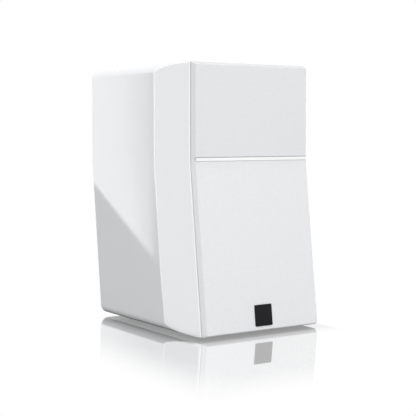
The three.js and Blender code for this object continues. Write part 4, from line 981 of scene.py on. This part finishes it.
class SPEAKER_OT_tweeter(SpeakerStep, bpy.types.Operator):
    """Turns the tweeter's faceplate with its waveguide, its dome and its surround"""

    bl_idname = "speaker.tweeter"
    bl_label = "Tweeter"

    def make(self, sizes):
        place = seat(TWEETER_HEIGHT)
        throat, flare, sunk, steps = 17, 18, 4, 14
        shares = [1 - i / steps for i in range(steps + 1)]
        horn = [(throat + flare * share, -sunk * (1 - share**2)) for share in shares]
        rim = [(throat, -4.7), (21, -4.7), (21, -5), (52, -5, 0.3), (52, 0, 0.9), (46, 0)]
        plate = coated(smoothed(turned("tweeter_plate", horn + rim), weighted=True), "black_plastic")
        placed(plate, place)
        screws = ring_of_screws("tweeter_screws", place, count=4, radius=45, start=math.pi / 4, head=3.2)
        plate = joined("tweeter_plate", plate, screws)
        done(plate, "cabinet", "black_plastic", replaces=("tweeter_faceplate",))
        profile = cap(radius=12.7, rise=4.5, skin=0.6, base=-4.4, steps=18)
        dome = placed(smoothed(turned("tweeter_cap", profile, closed=False), 50), place)
        done(dome, "tweeter_dome", "aluminium", "aluminium", replaces=("tweeter_dome",))
        profile = half_roll((13.0, 20.6), middle=14.85, size=1.85, skin=0.6, outs=(-5.6, -5.9), steps=10)
        roll_sectors("tweeter", place, profile, count=16, steps=3)


def cap(radius, rise, skin, base, steps):
    """The profile of a thin spherical cap, open behind, from the axis inside to the axis outside."""
    size = (radius**2 + rise**2) / (2 * rise)
    centre = base + rise - size
    edge = math.asin(radius / size)

    def point(shell, i):
        angle = edge * (1 - i / steps)
        return (0 if i == steps else shell * math.sin(angle), centre + shell * math.cos(angle))

    outside = [point(size, i) for i in range(steps + 1)]
    inside = [point(size - skin, steps - i) for i in range(steps + 1)]
    return inside + outside


def arc(radius, out, size, first, last, steps):
    angles = [math.radians(first + (last - first) * i / steps) for i in range(steps + 1)]
    return [(radius + size * math.cos(a), out + size * math.sin(a)) for a in angles]


def half_roll(radii, middle, size, skin, outs, steps):
    """The profile of a surround: a half roll with a flat lip inside and outside it."""
    inner, outer = radii
    front, behind = outs
    over = arc(middle, front, size, 180, 0, steps)
    under = arc(middle, behind, size - skin, 0, 180, steps)
    return [(inner, front), *over, (outer, front), (outer, behind), *under, (inner, behind)]


def roll_sectors(driver, place, profile, count, steps):
    """A ring between the cabinet and what moves, as sectors of one turned profile."""
    span = math.radians(360 / count)
    first = smoothed(turned(driver + "_roll", profile, steps, degrees=360 / count), 40)
    coated(first, "surround_rubber")
    for i in range(count):
        turn = place @ Matrix.Rotation(i * span, 4, "Y")
        sector = copied(first, f"{driver}_roll_{i + 1:02d}", turn)
        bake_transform(sector)
        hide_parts(driver + "_surround")
    bpy.data.objects.remove(first)


class SPEAKER_OT_woofer_frame(SpeakerStep, bpy.types.Operator):
    """Turns the woofer's cast basket, cuts its windows and adds its gasket and screws"""

    bl_idname = "speaker.woofer_frame"
    bl_label = "Woofer frame"

    def make(self, sizes):
        place = seat(WOOFER_HEIGHT)
        behind = [
            (83, 0, 0.9), (83, -5, 0.3), (72.5, -5), (72.5, -11, 1.5), (55.8, -34.25, 1),
            (55.8, -37.75, 1), (46.75, -48, 1), (45, -51), (25.2, -51), (25.2, -48),
        ]
        inside = [
            (41.5, -48), (48, -39), (48, -36), (52.3, -36), (52.3, -33), (69, -11),
            (69, -3.5, 0.5), (76, -3.5), (76, 0, 0.5),
        ]
        basket = turned("woofer_frame", behind + inside)
        coated(smoothed(cut(basket, *self.windows())), "cast_paint")
        placed(basket, place)
        screws = ring_of_screws("woofer_screws", place, count=6, radius=79.6, start=math.pi / 6, head=2.9)
        basket = joined("woofer_frame", basket, screws)
        done(basket, "cabinet", "cast", replaces=("woofer_basket",))
        profile = [(68.9, -2.1), (68.9, 0.2, 0.6), (75.6, 0, 0.6), (75.6, -2.1)]
        gasket = placed(smoothed(turned("woofer_trim_ring", profile), 40), place)
        done(gasket, "cabinet", "rubber", "surround_rubber", replaces=("woofer_gasket",))

    def windows(self):
        """Cutters for six windows in the basket's side and six in its back."""
        cutters = []
        for inner, degrees, low, high in ((48, 44.3, -31.5, -12.75), (38, 36.9, -46.5, -39.6)):
            section = [(inner, low), (77.5, low), (77.5, high), (inner, high)]
            first = turned("window", section, 12, degrees=degrees)
            turns = [math.radians(60 * i - degrees / 2) for i in range(6)]
            cutters += copies(first, "window", [Matrix.Rotation(turn, 4, "Y") for turn in turns])
        return cutters


class SPEAKER_OT_woofer_cone(SpeakerStep, bpy.types.Operator):
    """Turns the woofer's cone and dust cap and the surround round them"""

    bl_idname = "speaker.woofer_cone"
    bl_label = "Woofer cone"

    def make(self, sizes):
        place = seat(WOOFER_HEIGHT)
        width, skin, steps = CONE_EDGE - CONE_NECK, 0.9, 20
        shares = [i / steps for i in range(steps + 1)]
        front = [(CONE_NECK + width * share, self.cone_out(share)) for share in shares]
        front.append((59.7, -3.5))
        behind = [(radius, out - skin) for radius, out in reversed(front)]
        cone = smoothed(turned("woofer_membrane", front + behind), 40)
        radius, glue = 25, 0.6
        base = self.cone_out((radius - CONE_NECK) / width) + glue
        profile = cap(radius, rise=7, skin=skin, base=base, steps=16)
        dust = smoothed(turned("woofer_cap", profile, closed=False), 60)
        for piece, node in ((cone, "woofer_cone"), (dust, "woofer_dust_cap")):
            placed(piece, place)
            done(piece, "woofer_cone", "cone", "cone_weave", replaces=(node,))
        size = sizes.roll / MM
        profile = half_roll((57, 75.6), middle=64.6, size=size, skin=0.8, outs=(-2.4, -3.2), steps=14)
        roll_sectors("woofer", place, profile, count=24, steps=5)

    def cone_out(self, share):
        """How far out the cone's front lies, at a share of the way from its neck to its edge."""
        return CONE_BACK + CONE_DEPTH * share**CONE_CURVE


class SPEAKER_OT_vent(SpeakerStep, bpy.types.Operator):
    """Turns the flared vent and its tube"""

    bl_idname = "speaker.vent"
    bl_label = "Rear vent"

    def make(self, sizes):
        rim = [(42, 0, 0.8), (42, -4), (37, -4), (33.5, -10), (30.3, -14), (30.3, -30), (27.8, -30)]
        mouth = [(27.8, -14), (25, -14), *arc(37, -12, 12, 180, 90, 14)]
        flare = turned("vent_flare", rim + mouth, facing=1)
        bell = [*arc(37, -116, 12, 180, 252, 12), *arc(37, -116, 9.5, 252, 180, 12)]
        tube = turned("vent_tube", [(25, -14.3), *bell, (27.5, -14.3)], facing=1)
        for piece, node in ((flare, "port_flare"), (tube, "port_tube")):
            placed(smoothed(piece, weighted=True), seat(PORT_HEIGHT, DEPTH))
            done(piece, "cabinet", "black_plastic", "black_plastic", replaces=(node,))


class SPEAKER_OT_terminal_cup(SpeakerStep, bpy.types.Operator):
    """Models the recessed terminal cup with its screws and polarity marks"""

    bl_idname = "speaker.terminal_cup"
    bl_label = "Terminal cup"

    # Each step is how far in from the last border and how far out, in millimetres.
    front_steps = ((0.4, 0.7), (0.6, 0.3), (7.0, 0), (0.5, -0.3), (5.1, -22.5), (0.8, -1.0))
    rear_steps = ((6.5, 0), (5.0, -23.8))

    def make(self, sizes):
        place = seat(TERMINAL_HEIGHT, DEPTH)
        width, height = TRAY_HALF_WIDTH, TRAY_HALF_HEIGHT
        cup = block("terminal_tray", (-width, 0.3, -height), (width, 1.8, height))
        bevel(cup, in_depth, TRAY_CORNER, 14)
        with editing(cup):
            for side, steps in ((1, self.front_steps), (-1, self.rear_steps)):
                choose(cup, "FACE", lambda f: f.normal.y * side > 0.99)
                for inward, out in steps:
                    bpy.ops.mesh.inset(thickness=inward * MM, depth=0)
                    bpy.ops.transform.translate(value=(0, out * MM, 0))
        posts = (-POST_SPREAD, POST_SPREAD)
        holes = [bored(shifted(x), *POST_HOLE, top=-15, segments=SMALL, facing=1) for x in posts]
        coated(smoothed(cut(cup, *holes), weighted=True), "black_plastic")
        placed(cup, place)
        turn = Matrix.Rotation(math.pi, 4, "Z")
        across, up = width - 5.5, height - 5.5
        spots = [place @ (shifted(x, 2.8, z) @ turn) for x in (-across, across) for z in (-up, up)]
        screws = copies(screw_head("tray_screw", "black_steel", radius=2.8), "tray_screw", spots)
        marks = [self.mark(x, place) for x in posts]
        cup = joined("terminal_tray", cup, *screws, *marks)
        done(cup, "cabinet", "black_plastic", replaces=("terminal_cup",))

    def mark(self, x, place):
        """A moulded plus by the red terminal and a minus by the black one."""
        strokes = [(2.6, -17.4, -16.2)]
        if x < 0:
            strokes.append((0.6, -19.4, -14.2))
        bars = []
        for half, low, high in strokes:
            bar = block("mark", (x - half, -21.2, low), (x + half, -20.5, high))
            bevel(bar, level_with(-20.5), 0.2, 2)
            bars.append(bar)
        return placed(coated(smoothed(joined("mark", *bars)), "black_plastic"), place)


class SPEAKER_OT_binding_posts(SpeakerStep, bpy.types.Operator):
    """Turns the binding posts with their washers and fluted knobs"""

    bl_idname = "speaker.binding_posts"
    bl_label = "Binding posts"

    def make(self, sizes):
        for name, side, grip in (("red", -1, "red_plastic"), ("black", 1, "knob_black")):
            place = seat(TERMINAL_HEIGHT, DEPTH) @ shifted(side * POST_SPREAD, TRAY_FLOOR)
            post = self.post(name + "_stud")
            ring = [(3.8, 3.6), (6.5, 3.6, 0.3), (6.5, 5.0, 0.3), (3.8, 5.0)]
            washer = turned(name + "_ring", ring, MEDIUM, 1)
            knob = self.knob(name + "_grip", sizes.flutes)
            for piece in (post, washer, knob):
                placed(smoothed(piece), place)
            done(post, "cabinet", "brass", "brass", replaces=(name + "_post",))
            done(washer, name + "_washer", "brass", "brass", replaces=(name + "_post_washer",))
            done(knob, name + "_knob", name + "_plastic", grip, replaces=(name + "_post_knob",))

    def post(self, name):
        """A post with a collar, a wire hole through it and a nut behind the tray."""
        profile = [
            (0, -10.5), (3.5, -10.5), (3.5, 0.3), (7, 0.3, 0.3), (7, 3.3, 0.4), (3.5, 3.3),
            (3.5, 16, 0.5), (2, 16), (2, 6.8), (0, 6.8),
        ]
        stud = turned(name, profile, MEDIUM, 1, closed=False)
        upright = shifted(y=5.2) @ Matrix.Rotation(math.pi / 2, 4, "X")
        cut(stud, bored(upright, *WIRE_HOLE, top=WIRE_HOLE[1], segments=COARSE, facing=1))
        nut = turned("nut", [(3.6, -6.8), (7, -6.8, 0.4), (7, -2.8, 0.4), (3.6, -2.8)], 6, 1)
        return joined(name, stud, nut)

    def knob(self, name, flutes):
        """A hollow knob whose ribs are drawn out of its smooth side."""
        radius, rib_radius, rib_top = 7.2, 7.5, 17.3
        profile = [
            (3.8, 5.3), (6.6, 5.3, 0.3), (radius, 6.5, 0.5), (radius, 17.2, 0.3), (6.9, 17.6),
            (7, 19.3, 0.9), (2.4, 19.3, 0.3), (2.4, 16.3), (3.8, 16.3),
        ]
        grip = turned(name, profile, 8 * flutes, 1)
        period = 2 * math.pi / flutes

        def on_rib(v):
            share = (math.atan2(v.co.z, v.co.x) % period) / period
            outside = math.hypot(v.co.x, v.co.z) > 7.1 * MM and v.co.y < rib_top * MM
            return outside and 0.3 < share < 0.7

        with editing(grip):
            choose(grip, "VERT", on_rib)
            factor = rib_radius / radius
            bpy.ops.transform.resize(value=(factor, 1, factor), center_override=(0, 0, 0))
        return grip


class SPEAKER_OT_damping_pad(SpeakerStep, bpy.types.Operator):
    """Lays an egg-crate foam pad under the top board"""

    bl_idname = "speaker.damping_pad"
    bl_label = "Damping pad"

    def make(self, sizes):
        low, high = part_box("damping_foam")
        size = high - low
        middle = (low + high) / 2
        across, back, steps, crest = 10, 6, 6, 5 * MM
        bpy.ops.mesh.primitive_grid_add(
            x_subdivisions=across * steps, y_subdivisions=back * steps, size=1
        )
        pad = named("damping_pad")
        pad.location = (middle.x, middle.y, low.z + crest)
        pad.scale = (size.x, size.y, 1)
        apply_place(pad)
        pitch = Vector((size.x / across, size.y / back))

        def is_crest(v):
            place = ((v.co.x - low.x) / pitch.x, (v.co.y - low.y) / pitch.y)
            return all(abs(share % 1 - 0.5) < 0.01 for share in place)

        with editing(pad):
            choose(pad, "VERT", is_crest)
            bpy.ops.transform.translate(
                value=(0, 0, -crest), use_proportional_edit=True, proportional_edit_falloff="SMOOTH",
                proportional_size=0.55 * min(pitch), use_proportional_connected=False,
            )
            bpy.ops.mesh.select_all(action="SELECT")
            bpy.ops.mesh.region_to_loop()
            bpy.ops.mesh.extrude_edges_move(TRANSFORM_OT_translate={"value": (0, 0, size.z - crest)})
            bpy.ops.mesh.edge_face_add()
            outward()
        smoothed(pad, 50)
        done(pad, "cabinet", "foam", "open_cell_foam", replaces=("damping_foam",))


class SPEAKER_OT_kept_nodes(SpeakerStep, bpy.types.Operator):
    """Gives the CAD nodes whose shape stays as it is their finishes"""

    bl_idname = "speaker.kept_nodes"
    bl_label = "Kept nodes"

    finishes = {
        "white_plastic": ["grille_frame"],
        "plated_steel": [
            *(f"{driver}_{end}_plate" for driver in ("tweeter", "woofer") for end in ("top", "pole")),
            *(f"{part}_magnet_{level}_{side}" for part in ("grille", "baffle")
              for level in ("lower", "upper") for side in ("left", "right")),
        ],
        "black_plastic": ["tweeter_rear_chamber", *("board_standoff_" + corner for corner in CORNERS)],
        "ferrite": ["tweeter_magnet", "woofer_magnet"],
        "fibreboard": ["window_brace"],
        "kapton_film": ["woofer_coil_former"],
        "spider_cloth": ["woofer_spider"],
        "circuit_board": ["crossover_board"],
        "ceramic_case": ["crossover_resistor"],
        "film_wrap": ["crossover_large_capacitor", "crossover_small_capacitor"],
    }
    # The distance between turns, in millimetres.
    windings = {
        "crossover_woofer_inductor": 1.2,
        "crossover_tweeter_inductor": 0.9,
        "woofer_coil_winding": 0.4,
        "tweeter_voice_coil": 0.25,
    }

    def make(self, sizes):
        for name, nodes in self.finishes.items():
            for node in nodes:
                self.assign(node, finish(name))
        for node, pitch in self.windings.items():
            low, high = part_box(node)
            upright = node.startswith("crossover")
            centre = (low + high) / 2 if upright else None
            self.assign(node, wound_copper(node + "_wire", pitch, centre))

    def assign(self, node, material):
        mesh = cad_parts[node].data
        mesh.materials.clear()
        mesh.materials.append(material)


class SPEAKER_OT_stage(SpeakerStep, bpy.types.Operator):
    """Sets the floor, the studio light and the camera"""

    bl_idname = "speaker.stage"
    bl_label = "Studio"

    # Name, place, size, power in watts and whether gloss shows the lamp.
    lamps = (
        ("key_softbox", (-0.3, -2.45, 1.5), (1.6, 1.6), 28, False),
        ("top_softbox", (0.1, -0.1, 2.6), (1.8, 1.8), 11, False),
        ("side_softbox", (-1.6, 1.5, 0.35), (1.2, 0.7), 8, False),
        ("side_strip", (-0.83, 0.72, 0.75), (0.16, 1.5), 0.8, True),
    )
    # On the floor, in metres: the middle and half width of the object's footprint, how far its
    # painted shadow reaches, and where the table that its left side shows as dark begins.
    footprint = {"X": (0.0, 0.114), "Y": (-0.0093, 0.131)}
    shadow_reach = 0.05
    dark_edge = (Vector((-2.0415, 3.7955)), Vector((-0.5195, 0.6165)))
    dark_corner, dark_heading = Vector((-0.114, -0.115)), math.radians(34)
    # Strength of what gloss shows by heading, from the first to the last of the two headings.
    sky_headings = math.radians(-48), math.radians(20)
    sky_curve = (
        (0.03, 1), (0.1794, 1), (0.2235, 0.15), (0.2474, 0.2), (0.2518, 0.42), (0.2553, 0.54),
        (0.2615, 0.67), (0.2676, 0.76), (0.2747, 0.88), (0.2941, 0.98), (0.3824, 0.96), (0.9118, 0.96),
    )

    def make(self, sizes):
        scene = bpy.context.scene
        scene.view_settings.view_transform = "Standard"
        bpy.ops.mesh.primitive_plane_add(size=24)
        floor = named("studio_floor")
        floor.data.materials.append(self.floor_finish())
        self.world(scene)
        for lamp in self.lamps:
            self.lamp(*lamp)
        self.camera(scene)

    def floor_finish(self):
        """White table, with painted shadow under and beside the object on a grey table that also takes
        the lamps' shadow, and a mirror that fades with the distance.
        """
        f = Finish("studio_floor")
        f.tree.nodes.remove(f.shader)
        path = f.add("ShaderNodeLightPath").outputs
        spot = f.axes(f.place)
        beside, before = (self.away(f, spot, axis) for axis in "XY")
        squares = (f.math("MULTIPLY", distance, distance) for distance in (beside, before))
        away = f.math("SQRT", f.math("ADD", *squares))
        # Painted shadow: near the object a dark grey table, which the lamps also shade, shows in place of
        # the white floor.
        plain = f.mixed(self.shade(f, spot, away, before), f.glow(1.0), self.matt(f, 0.35))
        share, mirror = self.mirror(f, spot, beside, before)
        # Painted shadow: near the object the floor shows black in reflections, as if in shade.
        under = f.between(away, 0.0, self.shadow_reach, 1.0, 0.0)
        dark = f.math("MAXIMUM", self.dark_zone(f, spot), under)
        sky = self.sky(f, f.mapped(Location=(0.114, 0.035, 0)))
        reflected = f.mixed(dark, sky, f.glow(0.0))
        glossy = f.math("MAXIMUM", path["Is Glossy Ray"], path["Is Transmission Ray"])
        unseen = f.mixed(glossy, self.matt(f, 0.66), reflected)
        last = f.mixed(path["Is Camera Ray"], unseen, f.mixed(share, plain, mirror))
        f.tree.links.new(last, f.tree.nodes["Material Output"].inputs["Surface"])
        return f.material

    def matt(self, f, grey):
        return f.add("ShaderNodeBsdfDiffuse", {"Color": (grey, grey, grey, 1)}).outputs[0]

    def away(self, f, spot, axis):
        """The distance on the floor from the object's footprint, along one axis."""
        middle, half = self.footprint[axis]
        offset = f.math("ABSOLUTE", f.math("SUBTRACT", spot[axis], middle))
        return f.math("MAXIMUM", f.math("SUBTRACT", offset, half), 0.0)

    def shade(self, f, spot, away, before):
        """How much of the grey table shows: painted shadow, on which the lamps' real shadow also falls,
        kept off what the far sides hide.
        """
        outer, inner = f.between(spot["X"], -0.174, -0.149), f.between(spot["X"], -0.114, -0.118)
        long_side = f.math("MULTIPLY", outer, inner, f.between(before, 0, 0.03, 1, 0))
        near = f.between(away, 0.0, self.shadow_reach, 0.36, 0.0)
        not_behind = f.between(spot["Y"], 0.05, 0.12, 1, 0)
        not_right = f.between(spot["X"], 0.112, 0.124, 1, 0)
        return f.math("MULTIPLY", f.math("MAXIMUM", near, long_side), not_behind, not_right)

    def mirror(self, f, spot, beside, before):
        """The mirror's share and shader: full beside the left side and weaker in front, and darkened by
        painted shade where it shows the left side.
        """
        sideways, forwards = f.between(beside, 0.06, 0.18, 1, 0), f.between(before, 0.185, 0.30, 1, 0)
        fade = f.math("MINIMUM", sideways, forwards)
        turned_to = f.weighed(beside, 1, before, -0.67)
        sides = f.math("MULTIPLY", f.between(turned_to, -0.014, -0.007), f.between(beside, 0.0, 0.02))
        strength = f.between(sides, 0.0, 1.0, 0.55, 1.0, smooth=False)
        reach = f.weighed(spot["X"], 0.882, spot["Y"], -0.471)
        on_left = f.between(spot["X"], 0.0, -0.1)
        under_side = f.math("MULTIPLY", f.between(reach, -0.157, -0.09), on_left)
        # Painted shade: the mirror is a little darker where it shows the object's left side.
        tone = f.between(f.math("MULTIPLY", sides, under_side), 0.0, 1.0, 1.0, 0.93, smooth=False)
        mirror = f.add("ShaderNodeBsdfGlossy", {"Color": tone, "Roughness": 0.02}).outputs[0]
        return f.math("MULTIPLY", fade, strength), mirror

    def sky(self, n, direction):
        """What gloss shows: white, a little dimmer in one part behind the object's left side."""
        spot = n.axes(direction)
        heading = n.math("ARCTAN2", spot["X"], spot["Y"])
        turn = n.between(heading, *self.sky_headings, smooth=False)
        ramp = n.add("ShaderNodeFloatCurve", {"Value": turn})
        curve = ramp.mapping.curves[0]
        curve.points[0].location, curve.points[1].location = (0, 0.8), (1, 1)
        for x, y in self.sky_curve:
            curve.points.new(x, y)
        ramp.mapping.update()
        high_up, in_front = n.between(spot["Z"], 0.075, 0.13), n.between(spot["Y"], 0.0, -0.5)
        return n.glow(n.math("MAXIMUM", ramp.outputs[0], high_up, in_front))

    def dark_zone(self, f, spot):
        """The part of the table that the lacquered side shows as dark."""
        first, last = self.dark_edge
        line = (last - first).normalized()
        nearer = self.half_plane(f, spot, first, Vector((-line.y, line.x)))
        heading = Vector((-math.sin(self.dark_heading), math.cos(self.dark_heading)))
        right = self.half_plane(f, spot, self.dark_corner, Vector((heading.y, -heading.x)))
        return f.math("MULTIPLY", nearer, right)

    def half_plane(self, f, spot, point, normal):
        """One on the side that the normal points to, with a narrow soft border."""
        side = f.weighed(spot["X"], normal.x, spot["Y"], normal.y)
        level, border = point.dot(normal), 0.01
        return f.between(side, level - border, level + border)

    def world(self, scene):
        """Soft white light, a white backdrop for the camera and the sky for gloss."""
        world = bpy.data.worlds.new("studio")
        scene.world = world
        world.use_nodes = True
        n = Nodes(world.node_tree)
        soft = n.tree.nodes["Background"]
        white = (1, 1, 1, 1)
        soft.inputs["Color"].default_value = white
        soft.inputs["Strength"].default_value = 0.72
        plain = n.add("ShaderNodeBackground", {"Color": white, "Strength": 1.0}).outputs[0]
        path = n.add("ShaderNodeLightPath").outputs
        sky = self.sky(n, n.add("ShaderNodeTexCoord").outputs["Generated"])
        shown = n.mixed(path["Is Glossy Ray"], soft.outputs[0], sky)
        shown = n.mixed(path["Is Transmission Ray"], shown, plain)
        shown = n.mixed(path["Is Camera Ray"], shown, plain)
        n.tree.links.new(shown, n.tree.nodes["World Output"].inputs["Surface"])

    def lamp(self, name, place, size, power, mirrored):
        bpy.ops.object.light_add(type="AREA", location=place)
        lamp = bpy.context.active_object
        lamp.name = name
        lamp.data.shape = "RECTANGLE"
        lamp.data.size, lamp.data.size_y = size
        lamp.data.energy = power
        lamp.visible_camera = False
        lamp.visible_glossy = mirrored
        aim = Vector((0, 0, 0.18)) - Vector(place)
        lamp.rotation_euler = aim.to_track_quat("-Z", "Y").to_euler()

    def camera(self, scene):
        tilt, heading = 90 - 2.15, -33.84
        bpy.ops.object.camera_add(
            location=(-0.8976, -1.3457, 0.2810),
            rotation=(math.radians(tilt), 0, math.radians(heading)),
        )
        camera = bpy.context.active_object
        camera.name = "camera"
        camera.data.lens = 92.34
        camera.data.sensor_width = 36
        camera.data.shift_y = -0.08
        camera.data.clip_end = 50
        scene.camera = camera


STEPS = (
    SPEAKER_OT_cabinet,
    SPEAKER_OT_rear_panel,
    SPEAKER_OT_feet,
    SPEAKER_OT_grille_cloth,
    SPEAKER_OT_trim_bar,
    SPEAKER_OT_badge,
    SPEAKER_OT_tweeter,
    SPEAKER_OT_woofer_frame,
    SPEAKER_OT_woofer_cone,
    SPEAKER_OT_vent,
    SPEAKER_OT_terminal_cup,
    SPEAKER_OT_binding_posts,
    SPEAKER_OT_damping_pad,
    SPEAKER_OT_kept_nodes,
    SPEAKER_OT_stage,
)


class SPEAKER_PT_panel(bpy.types.Panel):
    """Lists the speaker's sizes, colours and pieces"""

    bl_idname = "SPEAKER_PT_panel"
    bl_label = "Bookshelf Speaker"
    bl_space_type = "VIEW_3D"
    bl_region_type = "UI"
    bl_category = "Speaker"

    def draw(self, context):
        for group in (context.scene.speaker_sizes, context.scene.speaker_colours):
            column = self.layout.column(align=True)
            for name in group.bl_rna.properties.keys():
                if name not in ("name", "rna_type"):
                    column.prop(group, name)
        column = self.layout.column(align=True)
        for step in STEPS:
            column.operator(step.bl_idname)


CLASSES = (SpeakerSizes, SpeakerColours, *STEPS, SPEAKER_PT_panel)


def register():
    for cls in CLASSES:
        bpy.utils.register_class(cls)
    bpy.types.Scene.speaker_sizes = PointerProperty(type=SpeakerSizes)
    bpy.types.Scene.speaker_colours = PointerProperty(type=SpeakerColours)


def unregister():
    del bpy.types.Scene.speaker_sizes
    del bpy.types.Scene.speaker_colours
    for cls in reversed(CLASSES):
        bpy.utils.unregister_class(cls)


def main():
    register()
    for step in STEPS:
        group, name = step.bl_idname.split(".")
        getattr(getattr(bpy.ops, group), name)()
    cage = bpy.data.objects.get("body_lattice")
    if cage:
        bpy.data.objects.remove(cage)


if __name__ == "__main__":
    main()
